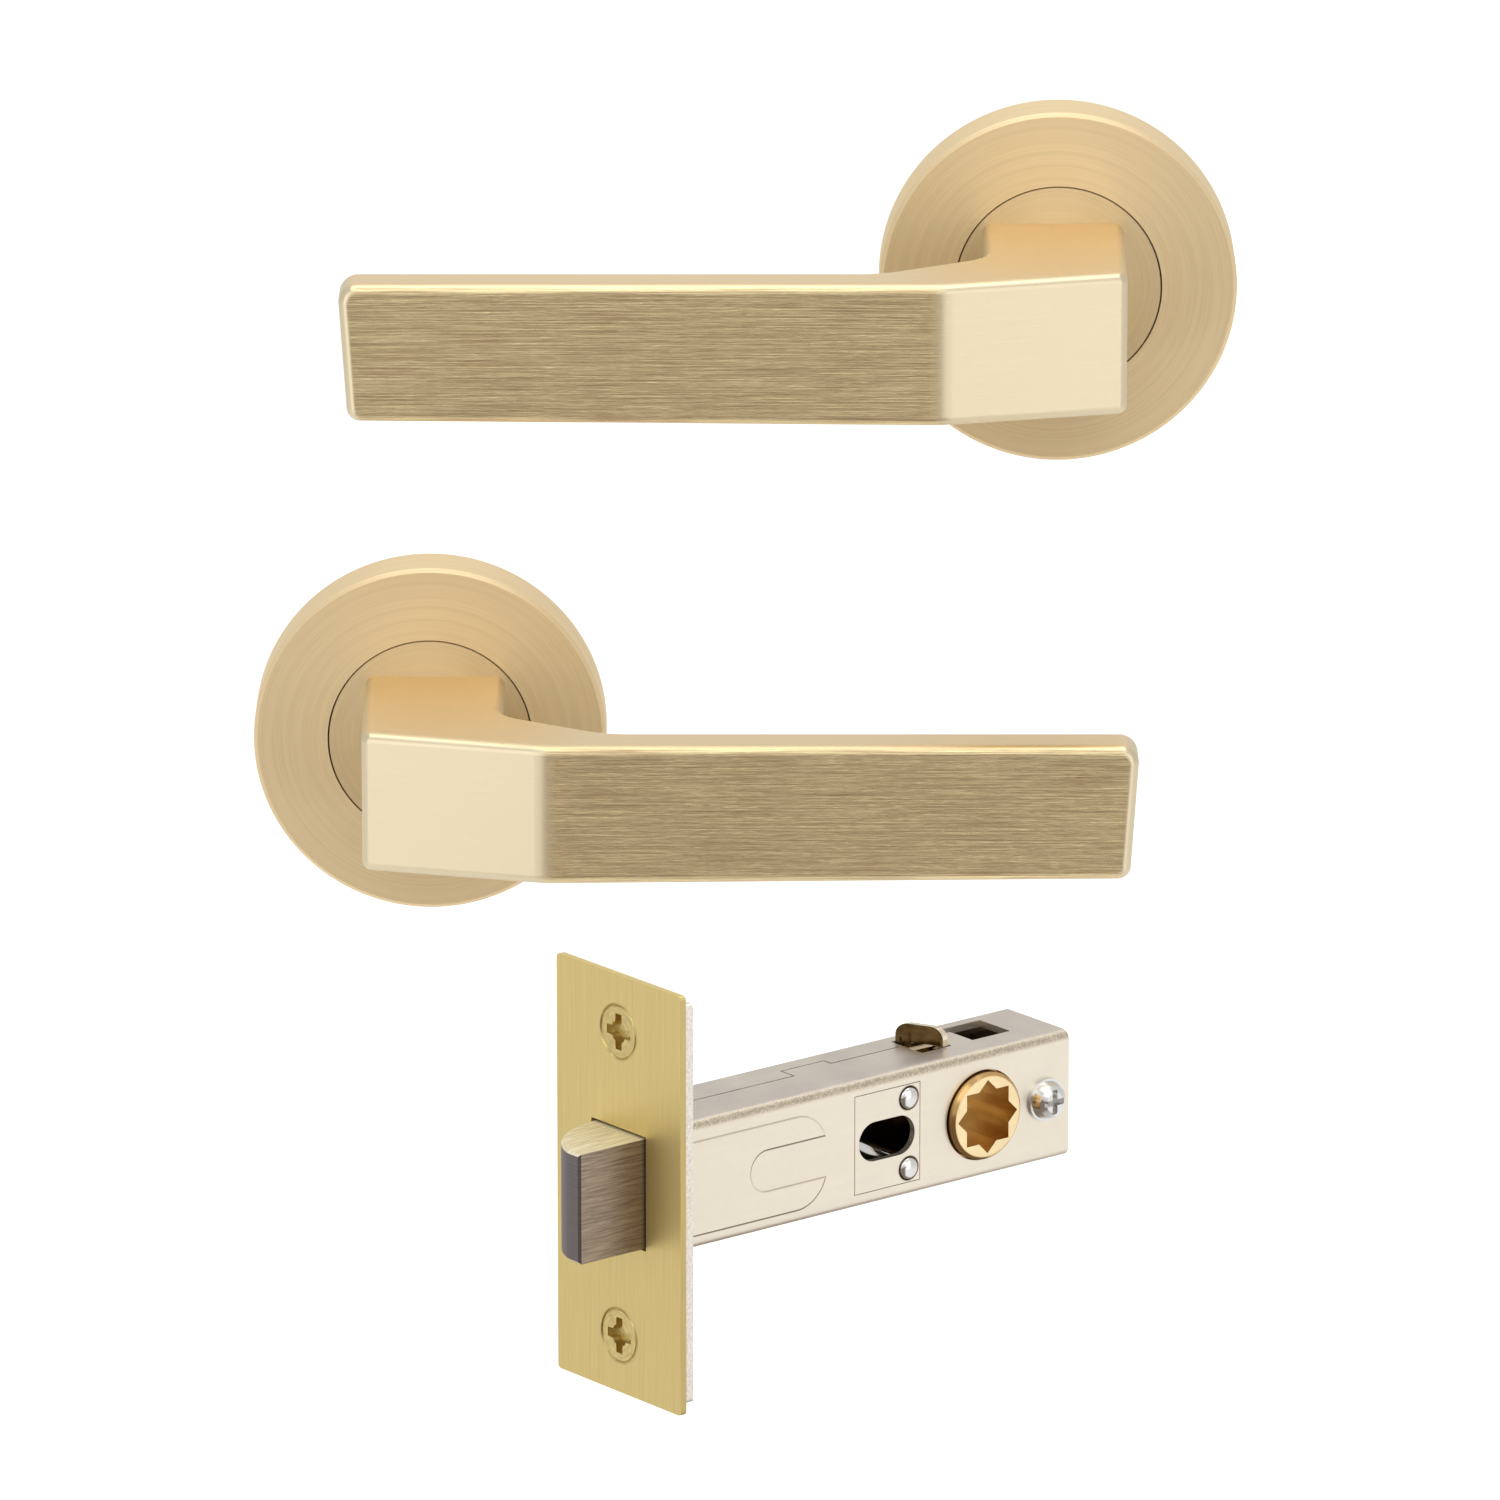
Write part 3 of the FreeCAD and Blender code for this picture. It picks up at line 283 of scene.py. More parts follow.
def metal(tree, colour, roughness, height, relief, tangent=None, anisotropy=0.0):
    """Ends a metal's tree. The relief is the depth in metres that the height stands for."""
    bump = tree.add("ShaderNodeBump", {"Strength": 1.0, "Distance": relief, "Height": height})
    values = {
        "Base Color": colour,
        "Metallic": 1.0,
        "Roughness": roughness,
        "Normal": bump.outputs[0],
    }
    if tangent is not None:
        values["Anisotropic"] = anisotropy
        values["Tangent"] = tangent
    return tree.finish(tree.add("ShaderNodeBsdfPrincipled", values).outputs[0])


def shades(tree, tone, colour, depth):
    """The colour, darker and lighter by a share of itself as the tone goes from 0 to 1."""
    dark = tuple(level * (1 - depth) for level in colour[:3]) + (1.0,)
    light = tuple(min(1.0, level * (1 + depth)) for level in colour[:3]) + (1.0,)
    return tree.blend(tone, dark, light)


def streaks(tree, point, broad):
    """Fine noise with a share of broader noise, from a point already scaled to the lines."""
    fine = tree.noise(point, *LINE_NOISE)
    wide = tree.noise(tree.scale(point, WIDE_SCALE), *WIDE_NOISE)
    return tree.math(
        "ADD", tree.math("MULTIPLY", fine, 1.0 - broad), tree.math("MULTIPLY", wide, broad)
    )


def brushed(tree, lines, colour, roughness, depth, relief, tangent=None, anisotropy=0.0):
    """Ends the tree of a brushed metal from its brush lines."""
    tone = tree.ramp(lines, *LINE_SPAN)
    rough = tree.ramp(lines, *ROUGH_SPAN, roughness + ROUGH_SWING, roughness - ROUGH_SWING)
    colour = shades(tree, tone, colour, depth)
    return metal(tree, colour, rough, lines, relief, tangent, anisotropy)


# The rings turned on the roses and discs: noise steps a metre out and a turn, and shading
RING_PITCH = 2400.0
RING_SWEEP = 1.3
RING_DEPTH = 0.04


def ring_lines(tree, flat, depth, pitch, sweep):
    """Points whose noise makes rings: the flat arm sets the ring, the depth shifts it."""
    radius = tree.length(flat)
    outward = tree.vector("NORMALIZE", flat)
    turned = tree.combine(
        tree.math("MULTIPLY", radius, pitch), tree.math("MULTIPLY", depth, pitch), 0.0
    )
    return tree.vector("ADD", turned, tree.scale(outward, sweep)), outward


# How squarely a lever's surface faces along x or z where it counts as an end, as level,
# as slanted or as a top; the slanted faces and the tops get painted highlight
END_FACING = 0.8
LEVEL_FACING = 0.7
SLANT_FACING = (0.04, 0.20)
TOP_FACING = (0.6, 0.95)

# The bars' lines: noise steps a metre along and across them, shading and roughness, and the
# reliefs of the lined front and of the surfaces where the lines are worn
BAR_ALONG = 45.0
BAR_ACROSS = 3500.0
BAR_DEPTH = 0.44
BAR_ROUGH = (0.36, 0.26)
BAR_RELIEF = 0.09 * MM
WORN_RELIEF = 0.007 * MM
WORN_CONTRAST = 0.12
DISC_ROUGH = 0.62


def lever_brass(name, centre):
    """Lines along the bar, upright lines on its ends and rings on the disc behind it, with a pale
    painted highlight on its slanted faces and its tops.
    """
    tree = Tree(name)
    x, y, z = tree.split(tree.vector("SUBTRACT", tree.place(), centre))
    facing = tree.facing()
    faces = tree.split(tree.vector("ABSOLUTE", facing))
    ends = tree.math("GREATER_THAN", faces[0], END_FACING)
    level = tree.math("MAXIMUM", ends, tree.math("GREATER_THAN", faces[2], LEVEL_FACING))
    disc = tree.math("GREATER_THAN", y, DISC_FRONT)
    straight = tree.combine(
        tree.math("MULTIPLY", tree.choose(ends, x, z), BAR_ALONG),
        tree.math("MULTIPLY", tree.choose(level, z, y), BAR_ACROSS),
        0.0,
    )
    rings, outward = ring_lines(tree, tree.combine(x, 0.0, z), y, RING_PITCH, RING_SWEEP)
    lines = streaks(tree, tree.choose_point(disc, straight, rings), broad=0.10)
    along = tree.combine(tree.choose(ends, 1.0, 0.0), 0.0, ends)
    round_it = tree.vector("CROSS_PRODUCT", outward, ALONG_Y)
    tangent = tree.across(tree.choose_point(disc, along, round_it))
    slanted = tree.ramp(faces[0], *SLANT_FACING)
    worn = tree.math("MAXIMUM", disc, tree.math("MAXIMUM", level, slanted))
    relief = tree.choose(worn, BAR_RELIEF, WORN_RELIEF)
    tone = tree.ramp(lines, *LINE_SPAN)
    bar_tone = tree.math(
        "MULTIPLY_ADD",
        tree.math("SUBTRACT", tone, MIDDLE_TONE),
        tree.choose(worn, 1.0, WORN_CONTRAST),
        MIDDLE_TONE,
    )
    upward = tree.ramp(tree.split(facing)[2], *TOP_FACING)
    # Painted highlight: the slanted faces and the tops get paler colours than the bar's front
    bar = tree.blend(slanted, shades(tree, bar_tone, BAR_BRASS, BAR_DEPTH), LIT_SLANT_BRASS)
    bar = tree.blend(upward, bar, LIT_TOP_BRASS)
    colour = tree.blend(disc, bar, shades(tree, tone, ROSE_BRASS, RING_DEPTH))
    rough = tree.choose(disc, tree.ramp(lines, *ROUGH_SPAN, *BAR_ROUGH), DISC_ROUGH)
    return metal(tree, colour, rough, lines, relief, tangent, anisotropy=0.75)


def rose_brass(name, colour, centre):
    """Rings turned round the rose's axis."""
    tree = Tree(name)
    x, y, z = tree.split(tree.vector("SUBTRACT", tree.place(), centre))
    rings, outward = ring_lines(tree, tree.combine(x, 0.0, z), y, RING_PITCH, RING_SWEEP)
    return brushed(
        tree,
        streaks(tree, rings, broad=0.08),
        colour,
        roughness=0.60,
        depth=RING_DEPTH,
        relief=0.006 * MM,
        tangent=tree.across(tree.vector("CROSS_PRODUCT", outward, ALONG_Y)),
        anisotropy=0.4,
    )


# Noise steps a metre along the latch's axes, for the faceplate's upright lines
PLATE_STEPS = (2600.0, 2600.0, 60.0)


def plate_brass(name, colour):
    """Fine upright lines on the faceplate."""
    tree = Tree(name)
    point = tree.vector("MULTIPLY", tree.latch_place(), PLATE_STEPS)
    return brushed(
        tree,
        streaks(tree, point, broad=0.05),
        colour,
        roughness=0.52,
        depth=0.025,
        relief=0.010 * MM,
        tangent=tree.across(ALONG_Z),
        anisotropy=0.4,
    )


# The rings of the screws' heads, as noise steps like the roses'
SCREW_PITCH = 2400.0
SCREW_SWEEP = 2.2


def screw_brass(name, colour):
    """Rings round the two faceplate screws, one above and one below the latch's middle."""
    tree = Tree(name)
    x, y, z = tree.split(tree.latch_place())
    height = tree.math("SUBTRACT", tree.math("ABSOLUTE", z), SCREW_HEIGHT)
    rings, _ = ring_lines(tree, tree.combine(0.0, y, height), x, SCREW_PITCH, SCREW_SWEEP)
    lines = streaks(tree, rings, broad=0.1)
    return brushed(tree, lines, colour, roughness=0.34, depth=0.18, relief=0.03 * MM)


# Plated metal: the clouds' noise steps a metre, and how their tone moves the roughness
PLATED_STEPS = 160.0
SMOOTHER = 0.04
ROUGHER = 0.06


def plated(name, colour, roughness, depth=0.05, grain=1400.0, relief=0.01, speckle=0.0):
    """Plated or cast metal, clouded or, by the share given, speckled. The relief is in mm."""
    tree = Tree(name)
    point = tree.place()
    cloud = tree.noise(tree.scale(point, PLATED_STEPS), *CLOUD_NOISE)
    fine = tree.noise(tree.scale(point, grain), *GRAIN_NOISE)
    tone = tree.ramp(tree.choose(speckle, cloud, fine), *CLOUD_SPAN)
    rough = tree.ramp(cloud, *CLOUD_SPAN, roughness - SMOOTHER, roughness + ROUGHER)
    return metal(tree, shades(tree, tone, colour, depth), rough, fine, relief * MM)


# The retractor: how squarely a surface faces along the latch from an edge to a face, noise
# steps a metre along the latch's axes, and the shading of edges and faces, both painted light
EAR_FACING = (0.5, 0.8)
EAR_STEPS = (500.0, 500.0, 900.0)
EAR_EDGE_DEPTH = 0.1
EAR_FACE_DEPTH = 0.3


def retractor_steel(name, face_colour, edge_colour):
    """Sheet steel, with a dark painted reflection on its faces and a bright painted highlight on
    its cut edges.
    """
    tree = Tree(name)
    ahead = tree.split(tree.into_latch(tree.facing()))[0]
    face = tree.ramp(tree.math("ABSOLUTE", ahead), *EAR_FACING)
    grain = tree.noise(tree.vector("MULTIPLY", tree.latch_place(), EAR_STEPS), *GRAIN_NOISE)
    tone = tree.ramp(grain, *CLOUD_SPAN)
    # Painted highlight on the edges and painted reflection on the faces
    colour = tree.blend(
        face,
        shades(tree, tone, edge_colour, EAR_EDGE_DEPTH),
        shades(tree, tone, face_colour, EAR_FACE_DEPTH),
    )
    return metal(tree, colour, roughness=0.18, height=grain, relief=0.01 * MM)


# The hub: noise steps a metre, the width over which the rim's painted shade comes in, how
# squarely a surface that isn't the bore's faces across the latch, and shading
HUB_STEPS = 260.0
RIM_FADE = 0.25 * MM
WALL_FACING = 0.5
HUB_FACE_DEPTH = 0.08
HUB_RIM_DEPTH = 0.12


def hub_brass(name, face_colour, rim_shade_colour, bore_shade_colour):
    """Polished brass, with painted shade round the hub's rim and in its bore."""
    tree = Tree(name)
    x, _, z = tree.split(tree.latch_place())
    arm = tree.length(tree.combine(tree.math("SUBTRACT", x, HUB_BACK), 0.0, z))
    rim = tree.ramp(arm, HUB_RIM, HUB_RIM + RIM_FADE)
    cloud = tree.noise(tree.scale(tree.place(), HUB_STEPS), *CLOUD_NOISE)
    tone = tree.ramp(cloud, *CLOUD_SPAN)
    # Painted shade round the rim
    colour = tree.blend(
        rim,
        shades(tree, tone, face_colour, HUB_FACE_DEPTH),
        shades(tree, tone, rim_shade_colour, HUB_RIM_DEPTH),
    )
    aside = tree.split(tree.into_latch(tree.facing()))[1]
    wall = tree.math("LESS_THAN", tree.math("ABSOLUTE", aside), WALL_FACING)
    bore = tree.math("MULTIPLY", wall, tree.math("LESS_THAN", arm, HUB_RIM))
    # Painted shade on the bore's walls
    colour = tree.blend(bore, colour, shades(tree, tone, bore_shade_colour, HUB_RIM_DEPTH))
    return metal(tree, colour, roughness=0.21, height=cloud, relief=0.01 * MM)


# Half the widths of a pressed line of painted shade, where it starts and ends to fade, and the
# height over which it goes from an upper edge's faint line to a lower edge's full one
LINE_FADE = (0.09 * MM, 0.19 * MM)
UNDER_SPAN = (-1.5 * MM, 2.5 * MM)
FAINT_LINE = 0.22

# The radii between which the painted shade in the gap round a rivet fades out
GAP_FADE = (1.78 * MM, 1.92 * MM)


def pressed_line_shade(tree, x, z):
    """Painted shade, full on the lower edges of the pressed panel and its notch, faint on the
    upper ones.
    """
    half_length = (PANEL_END - PANEL_START) / 2
    half_height = (PANEL_TOP - PANEL_BOTTOM) / 2
    across = tree.math("ABSOLUTE", tree.math("SUBTRACT", x, PANEL_START + half_length))
    upward = tree.math("ABSOLUTE", tree.math("SUBTRACT", z, PANEL_BOTTOM + half_height))
    over_x = tree.math("MAXIMUM", tree.math("SUBTRACT", across, half_length - PANEL_ROUND), 0.0)
    over_z = tree.math("MAXIMUM", tree.math("SUBTRACT", upward, half_height - PANEL_ROUND), 0.0)
    reach = tree.length(tree.combine(over_x, 0.0, over_z))
    panel = tree.math("SUBTRACT", reach, PANEL_ROUND)
    ahead = tree.math("MAXIMUM", tree.math("SUBTRACT", NOTCH_START, x), 0.0)
    aside = tree.math("SUBTRACT", z, NOTCH_MIDDLE)
    arm = tree.length(tree.combine(ahead, 0.0, aside))
    notch = tree.math("SUBTRACT", NOTCH_RADIUS, arm)
    outline = tree.math("MAXIMUM", panel, notch)
    lower = tree.math("SUBTRACT", PANEL_BOTTOM + half_height, z)
    under = tree.choose(tree.math("GREATER_THAN", notch, panel), lower, aside)
    strength = tree.ramp(under, *UNDER_SPAN, FAINT_LINE, 1.0)
    line = tree.ramp(tree.math("ABSOLUTE", outline), *LINE_FADE, 1.0, 0.0)
    return tree.math("MULTIPLY", line, strength)


def rivet_gap_shade(tree, x, z):
    """1 on the cross rivets and the thin gap round them, where shade is painted, and 0 off them.
    """
    height = tree.math("SUBTRACT", tree.math("ABSOLUTE", z), RIVET_HEIGHT)
    arm = tree.length(tree.combine(tree.math("SUBTRACT", x, RIVET_BACK), 0.0, height))
    return tree.ramp(arm, *GAP_FADE, 1.0, 0.0)


# The case's sheet: noise steps a metre along the latch's axes, how squarely a surface faces
# up from a side to a bend and from a bend to the top, and how little a side does
ROLLED_STEPS = (60.0, 1300.0, 1300.0)
SHEET_CLOUD_STEPS = 140.0
SPECKLE_STEPS = 3000.0
BEND_FACING = (0.05, 0.32)
TOP_SHEET_FACING = (0.80, 0.98)
SIDE_FACING = 0.1

# The sheet's shares of clouds and rolled lines, shading, reliefs and roughness
CLOUD_SHARE = 0.8
ROLLED_SHARE = 0.2
SHEET_DEPTH = 0.05
SHEET_TOP_DEPTH = 0.06
SPECKLE_DEPTH = 0.26
SHEET_RELIEF = 0.006 * MM
BEND_RELIEF = 0.04 * MM
SHEET_ROUGH = (0.36, 0.46)


def sheet_nickel(name, colour, painted_top_colour, edge_colour, inner_shade_colour, line_shade_colour):
    """Plated sheet with speckle where it is bent, and painted shade on its top, along its pressed
    lines, round its rivets and inside it.
    """
    tree = Tree(name)
    point = tree.latch_place()
    x, y, z = tree.split(point)
    rolled = tree.noise(tree.vector("MULTIPLY", point, ROLLED_STEPS), *WIDE_NOISE)
    cloud = tree.noise(tree.scale(point, SHEET_CLOUD_STEPS), *CLOUD_NOISE)
    speckle = tree.noise(tree.scale(point, SPECKLE_STEPS), *SPECKLE_NOISE)
    upward = tree.split(tree.facing())[2]
    rise = tree.ramp(upward, *BEND_FACING)
    bend = tree.math("MULTIPLY", rise, tree.ramp(upward, *TOP_SHEET_FACING, 1.0, 0.0))
    tone = tree.math(
        "ADD",
        tree.math("MULTIPLY", cloud, CLOUD_SHARE),
        tree.math("MULTIPLY", rolled, ROLLED_SHARE),
    )
    tone = tree.ramp(tone, *CLOUD_SPAN)
    level = tree.ramp(upward, *TOP_SHEET_FACING)
    # Painted shade: the case's top is darker than its sides
    flat = tree.blend(
        level,
        shades(tree, tone, colour, SHEET_DEPTH),
        shades(tree, tone, painted_top_colour, SHEET_TOP_DEPTH),
    )
    spotted = shades(tree, tree.ramp(speckle, *SPECKLE_SPAN), edge_colour, SPECKLE_DEPTH)
    relief = tree.choose(bend, SHEET_RELIEF, BEND_RELIEF)
    rough = tree.ramp(cloud, *CLOUD_SPAN, *SHEET_ROUGH)
    side = tree.math("LESS_THAN", tree.math("ABSOLUTE", upward), SIDE_FACING)
    # Painted shade along the pressed panel's lower edges and round the rivets
    line = tree.math("MAXIMUM", pressed_line_shade(tree, x, z), rivet_gap_shade(tree, x, z))
    line = tree.math("MULTIPLY", line, side)
    outer = tree.blend(line, tree.blend(bend, flat, spotted), line_shade_colour)
    # Painted shade inside the case
    inside = tree.math(
        "MULTIPLY",
        tree.math("LESS_THAN", tree.math("ABSOLUTE", y), INNER_HALF_WIDTH),
        tree.math("LESS_THAN", tree.math("ABSOLUTE", z), INNER_HALF_HEIGHT),
    )
    return metal(tree, tree.blend(inside, outer, inner_shade_colour), rough, speckle, relief)


# The bolt: noise steps a metre along and across its lines, how squarely its top faces up and
# its slope faces ahead, shading and roughness
BOLT_ALONG = 170.0
BOLT_ACROSS = 3300.0
BOLT_TOP_FACING = 0.7
SLOPE_FACING = (-0.2, -0.6)
BOLT_DEPTH = 0.34
SLOPE_DEPTH = 0.10
BOLT_SIDE_ROUGH = 0.52
BOLT_TOP_ROUGH = 0.64


def bolt_metal(name, painted_top_colour, side_colour, slope_colour):
    """Painted highlight of pale brass on top, brown grey on the sides and purple grey on the
    slope.
    """
    tree = Tree(name)
    x, y, z = tree.split(tree.latch_place())
    facing = tree.facing()
    upward = tree.math("ABSOLUTE", tree.split(facing)[2])
    top = tree.math("GREATER_THAN", upward, BOLT_TOP_FACING)
    ahead = tree.split(tree.into_latch(facing))[0]
    slope = tree.ramp(ahead, *SLOPE_FACING)
    point = tree.combine(
        tree.math("MULTIPLY", x, BOLT_ALONG),
        tree.math("MULTIPLY", tree.choose(top, z, y), BOLT_ACROSS),
        0.0,
    )
    lines = streaks(tree, point, broad=0.12)
    tone = tree.ramp(lines, *LINE_SPAN)
    sides = tree.blend(
        slope,
        shades(tree, tone, side_colour, BOLT_DEPTH),
        shades(tree, tone, slope_colour, SLOPE_DEPTH),
    )
    # Painted highlight: the top is pale against the darker sides
    colour = tree.blend(top, sides, shades(tree, tone, painted_top_colour, BOLT_DEPTH))
    rough = tree.choose(top, BOLT_SIDE_ROUGH, BOLT_TOP_ROUGH)
    return metal(tree, colour, rough, lines, relief=0.05 * MM)


# Materials and the solids that wear them


def dress(node, material):
    """Gives a CAD node its material."""
    mesh = nodes[node].data
    mesh.materials.clear()
    mesh.materials.append(material)


plate = plate_brass("plate brass", PLATE_BRASS)
screw = screw_brass("screw brass", SCREW_BRASS)
bolt = bolt_metal("bolt bronze", BOLT_TOP_HIGHLIGHT, BOLT_SIDE, BOLT_SLOPE)
hub = hub_brass("hub brass", HUB_FACE, SHADED_HUB_RIM, SHADED_HUB_BORE)
nickel = sheet_nickel(
    "nickel sheet", NICKEL, SHADED_TOP_NICKEL, BENT_NICKEL, SHADED_INNER_NICKEL, PRESSED_LINE_SHADE
)
ear_steel = retractor_steel("retractor steel", EAR_FACE_REFLECTION, EAR_EDGE_HIGHLIGHT)
back_steel = plated(
    "sheared steel",
    BACK_STEEL,
    roughness=0.42,
    depth=0.22,
    grain=2300.0,
    relief=0.03,
    speckle=0.75,
)
zinc = plated("zinc plate", ZINC, roughness=0.38)
chrome = plated("chrome", CHROME, roughness=0.14, depth=0.02, relief=0.002)
spring_steel = plated("spring steel", SPRING_STEEL, roughness=0.35)

for side, axis in (("lower", LOWER_AXIS), ("upper", UPPER_AXIS)):
    dress(f"{side}_lever", lever_brass(f"{side} lever brass", axis))
    dress(f"{side}_rose_cover", rose_brass(f"{side} rose brass", ROSE_BRASS, axis))
    dress(f"{side}_rose_base", zinc)
    dress(f"{side}_circlip", spring_steel)
    dress(f"{side}_grub_screw", zinc)
for name, material in (
    ("lower_fixing_posts", zinc),
    ("upper_fixing_bolts", zinc),
    ("spindle", zinc),
    ("faceplate", plate),
    ("back_plate", back_steel),
    ("faceplate_screws", screw),
    ("latch_case", nickel),
    ("near_slot_plate", nickel),
    ("far_slot_plate", nickel),
    ("cross_rivets", chrome),
    ("hub", hub),
    ("latch_bolt", bolt),
    ("retractor", ear_steel),
    ("rear_block", nickel),
    ("rear_screw", chrome),
):
    dress(name, material)

# Detailed rivets and faceplate screws

LATCH_FRAME = Matrix.Translation(LATCH_ORIGIN) @ Matrix.Rotation(LATCH_YAW, 4, "Z")
SMOOTH_BELOW = math.radians(32)
ROUND_STEPS = 48
MERGE_BELOW = 0.002 * MM

# Half of a rivet's profile from the middle out, as places along it and radii in mm
RIVET_PROFILE = [
    (0.0, 1.55),
    (7.42, 1.55),
    (7.55, 1.50),
    (7.70, 1.33),
    (7.82, 1.02),
    (7.89, 0.60),
    (7.92, 0.0),
]

# A faceplate screw's profile, as places back from the plate's front and radii in mm
SCREW_PROFILE = [
    (0.05, 0.0),
    (0.05, 3.66),
    (0.20, 3.79),
    (0.20, 3.86),
    (0.0, 3.96),
    (-0.05, 4.04),
    (-0.04, 4.12),
    (-0.01, 4.16),
    (-0.01, 3.97),
    (0.30, 3.90),
    (2.0, 2.0),
    (9.0, 2.0),
    (9.0, 0.0),
]

# The corners of one quarter of the cross-shaped recess in mm, across and up the screw's face
RECESS_QUARTER = [
    (2.60, -0.66),
    (2.60, 0.66),
    (1.38, 0.74),
    (1.18, 1.18),
    (0.74, 1.38),
]

# The recess's cutter from outside the head in, as places in mm and the size of the cross there
RECESS_STEPS = [
    (-0.3, 1.0),
    (0.2, 1.0),
    (1.2, 0.78),
]


def lathe(shell, profile, axis, middle):
    """Adds a closed turned shape: the profile gives places along the axis and radii."""
    rows = []
    for along, radius in profile:
        if radius == 0:
            rows.append([shell.verts.new(middle + axis @ Vector((along, 0, 0)))])
            continue
        row = []
        for step in range(ROUND_STEPS):
            angle = math.tau * step / ROUND_STEPS
            spoke = Vector((along, radius * math.cos(angle), radius * math.sin(angle)))
            row.append(shell.verts.new(middle + axis @ spoke))
        rows.append(row)
    for first, second in zip(rows, rows[1:]):
        for step in range(ROUND_STEPS):
            after = (step + 1) % ROUND_STEPS
            corners = [
                first[step % len(first)],
                first[after % len(first)],
                second[after % len(second)],
                second[step % len(second)],
            ]
            shell.faces.new(list(dict.fromkeys(corners)))


def latch_object(name, shell):
    """Makes an object from a mesh built in the latch's own frame."""
    bmesh.ops.recalc_face_normals(shell, faces=shell.faces)
    mesh = bpy.data.meshes.new(name)
    shell.to_mesh(mesh)
    shell.free()
    mesh.transform(LATCH_FRAME)
    made = bpy.data.objects.new(name, mesh)
    bpy.context.collection.objects.link(made)
    return made


def finish_piece(name, shell, material, body, stands_for):
    """Makes the object from the mesh, smooths its rounds and ties it to its body."""
    piece = latch_object(name, shell)
    piece.data.shade_smooth()
    piece.data.set_sharp_from_angle(angle=SMOOTH_BELOW)
    piece.data.materials.append(material)
    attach(piece, body)
    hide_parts(stands_for)
    return piece


def screw_recess(height):
    """The cross-shaped cutter, narrowing as it goes in."""
    shell = bmesh.new()
    rims = []
    for along, size in RECESS_STEPS:
        rim = []
        for quarter in range(4):
            turn = Matrix.Rotation(QUARTER_TURN * quarter, 2)
            for corner in RECESS_QUARTER:
                across, up = turn @ Vector(corner)
                place = (along * MM, across * size * MM, height + up * size * MM)
                rim.append(shell.verts.new(place))
        rims.append(rim)
    for first, second in zip(rims, rims[1:]):
        for step in range(len(first)):
            after = (step + 1) % len(first)
            shell.faces.new((first[step], first[after], second[after], second[step]))
    shell.faces.new(rims[0])
    shell.faces.new(rims[-1])
    return latch_object("recess", shell)


rivets = bmesh.new()
across_latch = Matrix.Rotation(QUARTER_TURN, 3, "Z")
half = [(place * MM, radius * MM) for place, radius in RIVET_PROFILE]
whole = [(-place, radius) for place, radius in reversed(half[1:])] + half
for sign in (1, -1):
    lathe(rivets, whole, across_latch, Vector((RIVET_BACK, 0, sign * RIVET_HEIGHT)))
finish_piece("domed_rivets", rivets, chrome, "set", "cross_rivets")

screws = bmesh.new()
along_latch = Matrix.Identity(3)
profile = [(place * MM, radius * MM) for place, radius in SCREW_PROFILE]
for sign in (1, -1):
    lathe(screws, profile, along_latch, Vector((0, 0, sign * SCREW_HEIGHT)))
heads = finish_piece("cross_head_screws", screws, screw, "set", "faceplate_screws")
for sign in (1, -1):
    cutter = screw_recess(sign * SCREW_HEIGHT)
    cut = heads.modifiers.new("recess", "BOOLEAN")
    cut.operation = "DIFFERENCE"
    cut.object = cutter
    cut.solver = "EXACT"
    bpy.context.view_layer.objects.active = heads
    bpy.context.view_layer.update()
    bpy.ops.object.modifier_apply(modifier=cut.name)
    bpy.data.objects.remove(cutter)
shell = bmesh.new()
shell.from_mesh(heads.data)
bmesh.ops.remove_doubles(shell, verts=shell.verts, dist=MERGE_BELOW)
bmesh.ops.dissolve_degenerate(shell, edges=shell.edges, dist=MERGE_BELOW)
shell.to_mesh(heads.data)
shell.free()
heads.data.set_sharp_from_angle(angle=SMOOTH_BELOW)

# Floor, cloths and light

WHITE = (1.0, 1.0, 1.0, 1.0)
SHADE = (0.25, 0.20, 0.165, 1.0)
FLOOR_COLOUR = (0.9, 0.9, 0.9, 1.0)

# The strength of the floor's and the world's own light, seen straight and in metal
FLOOR_GLOW = 0.55
FLOOR_SHEEN = 0.25
WORLD_LEVEL = 0.55
WORLD_SHEEN = 0.75

# The floor and the cloths below the camera, in metres
FLOOR_LEVEL = -0.22
FLOOR_REACH = 14.0
CLOTH_MIDDLE = 0.059
CLOTH_CORE = 0.17
CLOTH_REACH = 0.30
CLOTH_LEFT = CLOTH_MIDDLE - CLOTH_REACH
CLOTH_RIGHT = CLOTH_MIDDLE + CLOTH_REACH
CLOTH_FRONT = -0.76
CLOTH_BACK = -0.28
CLOTH_TOP = 0.10
CLOTH_FOOT = FLOOR_LEVEL + 0.004

# Where the softboxes point, and each one's name, place, width, height and power
MIDDLE = (0.057, -0.06, 0.04)
SOFTBOXES = [
    ("left softbox", (-0.80, -1.10, 0.10), 0.8, 1.1, 2.1),
    ("right softbox", (0.91, -1.10, 0.10), 0.8, 1.1, 1.8),
    ("front softbox", (0.059, -1.2, 0.70), 1.0, 0.5, 1.45),
    ("top softbox", (0.06, -0.3, 1.3), 1.4, 1.0, 6.8),
]


def sheet(name, corners, material):
    """A flat four-cornered piece of the studio."""
    mesh = bpy.data.meshes.new(name)
    mesh.from_pydata(corners, [], [(0, 1, 2, 3)])
    piece = bpy.data.objects.new(name, mesh)
    bpy.context.collection.objects.link(piece)
    mesh.materials.append(material)
    return piece


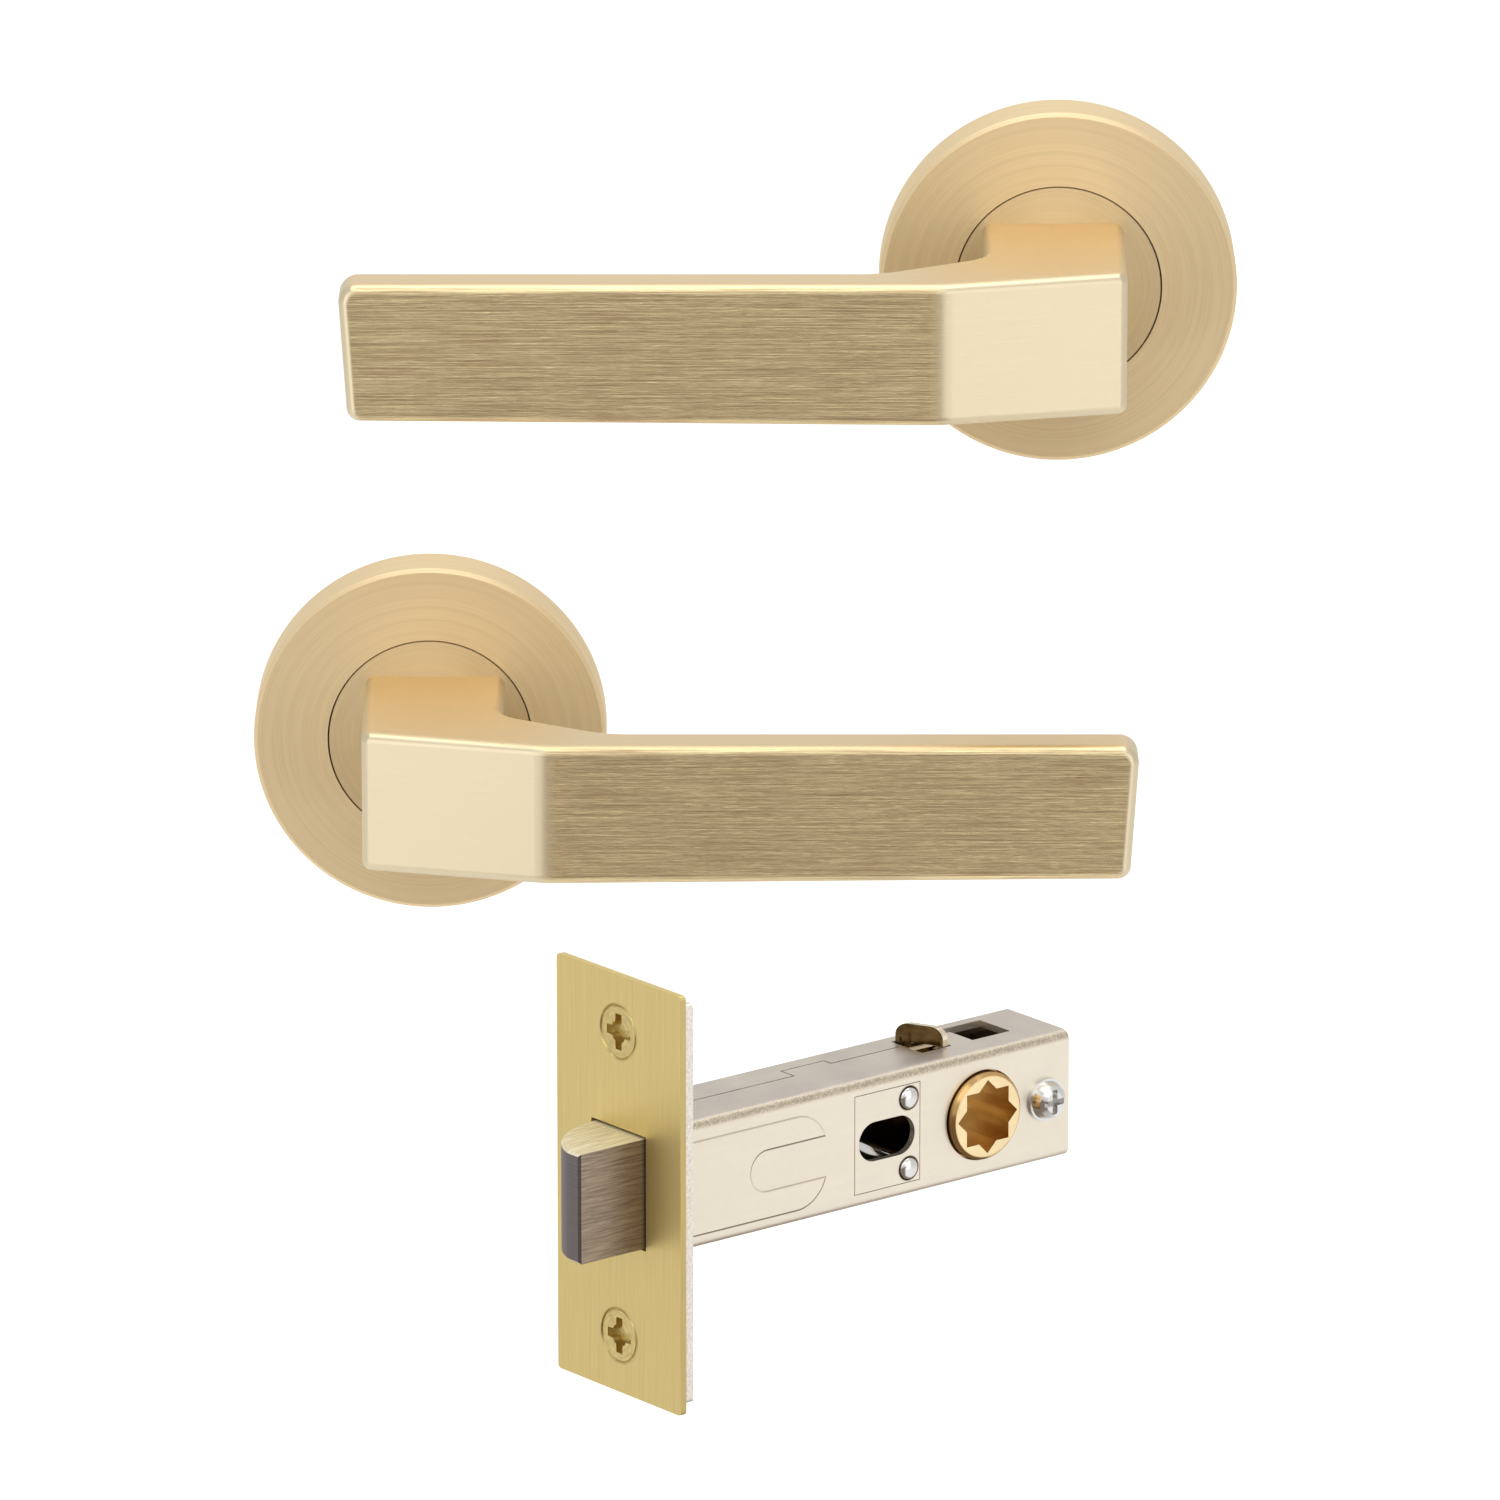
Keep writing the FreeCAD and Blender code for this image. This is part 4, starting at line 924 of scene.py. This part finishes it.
def pale_floor():
    """A pale floor that adds a little of its own light where the camera or metal sees it."""
    tree = Tree("pale floor")
    diffuse = tree.add("ShaderNodeBsdfDiffuse", {"Color": FLOOR_COLOUR})
    rays = tree.add("ShaderNodeLightPath").outputs
    reflected = tree.math("MAXIMUM", rays["Is Glossy Ray"], rays["Is Transmission Ray"])
    strength = tree.math(
        "MAXIMUM",
        tree.math("MULTIPLY", rays["Is Camera Ray"], FLOOR_GLOW),
        tree.math("MULTIPLY", reflected, FLOOR_SHEEN),
    )
    glow = tree.add("ShaderNodeEmission", {"Strength": strength})
    both = tree.add("ShaderNodeAddShader", {0: diffuse.outputs[0], 1: glow.outputs[0]})
    return tree.finish(both.outputs[0])


def shade_cloth():
    """A glowing sheet below the camera that only reflections show, dim and warm with paler sides:
    the painted reflection that flat fronts mirror.
    """
    tree = Tree("shade cloth")
    x = tree.split(tree.place())[0]
    aside = tree.math("ABSOLUTE", tree.math("SUBTRACT", x, CLOTH_MIDDLE))
    colour = tree.blend(tree.ramp(aside, CLOTH_CORE, CLOTH_REACH), SHADE, WHITE)
    glow = tree.add("ShaderNodeEmission", {"Color": colour, "Strength": 1.0})
    return tree.finish(glow.outputs[0])


def softbox(name, place, width, height, power):
    """A rectangular lamp that points at the middle of the handles."""
    lamp = bpy.data.lights.new(name, "AREA")
    lamp.shape = "RECTANGLE"
    lamp.size = width
    lamp.size_y = height
    lamp.energy = power
    holder = bpy.data.objects.new(name, lamp)
    bpy.context.collection.objects.link(holder)
    holder.location = place
    towards = Vector(MIDDLE) - Vector(place)
    holder.rotation_euler = towards.to_track_quat("-Z", "Y").to_euler()


sheet(
    "floor",
    [
        (-FLOOR_REACH, -FLOOR_REACH, FLOOR_LEVEL),
        (FLOOR_REACH, -FLOOR_REACH, FLOOR_LEVEL),
        (FLOOR_REACH, FLOOR_REACH, FLOOR_LEVEL),
        (-FLOOR_REACH, FLOOR_REACH, FLOOR_LEVEL),
    ],
    pale_floor(),
)
cloth = shade_cloth()
for name, far, height in (
    ("hanging cloth", CLOTH_FRONT, CLOTH_TOP),
    ("lying cloth", CLOTH_BACK, CLOTH_FOOT),
):
    piece = sheet(
        name,
        [
            (CLOTH_LEFT, CLOTH_FRONT, CLOTH_FOOT),
            (CLOTH_RIGHT, CLOTH_FRONT, CLOTH_FOOT),
            (CLOTH_RIGHT, far, height),
            (CLOTH_LEFT, far, height),
        ],
        cloth,
    )
    # The cloths glow, light nothing and show only in reflections
    piece.visible_camera = False
    piece.visible_diffuse = False
    piece.visible_shadow = False

world = bpy.data.worlds.new("studio")
bpy.context.scene.world = world
world.use_nodes = True
world_nodes = world.node_tree.nodes
world_links = world.node_tree.links
background = world_nodes["Background"]
background.inputs["Color"].default_value = WHITE
rays = world_nodes.new("ShaderNodeLightPath").outputs
sheen = world_nodes.new("ShaderNodeMapRange")
sheen.inputs["To Min"].default_value = WORLD_LEVEL
sheen.inputs["To Max"].default_value = WORLD_SHEEN
world_links.new(rays["Is Glossy Ray"], sheen.inputs["Value"])
level = world_nodes.new("ShaderNodeMath")
level.operation = "MAXIMUM"
world_links.new(rays["Is Camera Ray"], level.inputs[0])
world_links.new(sheen.outputs[0], level.inputs[1])
world_links.new(level.outputs[0], background.inputs["Strength"])

for name, place, width, height, power in SOFTBOXES:
    softbox(name, place, width, height, power)

# Camera

eye = bpy.data.cameras.new("camera")
eye.sensor_width = SENSOR
eye.lens = FOCAL_LENGTH / PHOTO_SIDE * SENSOR
eye.clip_end = CAMERA_REACH
viewer = bpy.data.objects.new("camera", eye)
bpy.context.collection.objects.link(viewer)
viewer.location = CAMERA_PLACE
viewer.rotation_euler = (QUARTER_TURN - PITCH, 0.0, 0.0)
bpy.context.scene.camera = viewer

bpy.context.scene.view_settings.view_transform = "Standard"
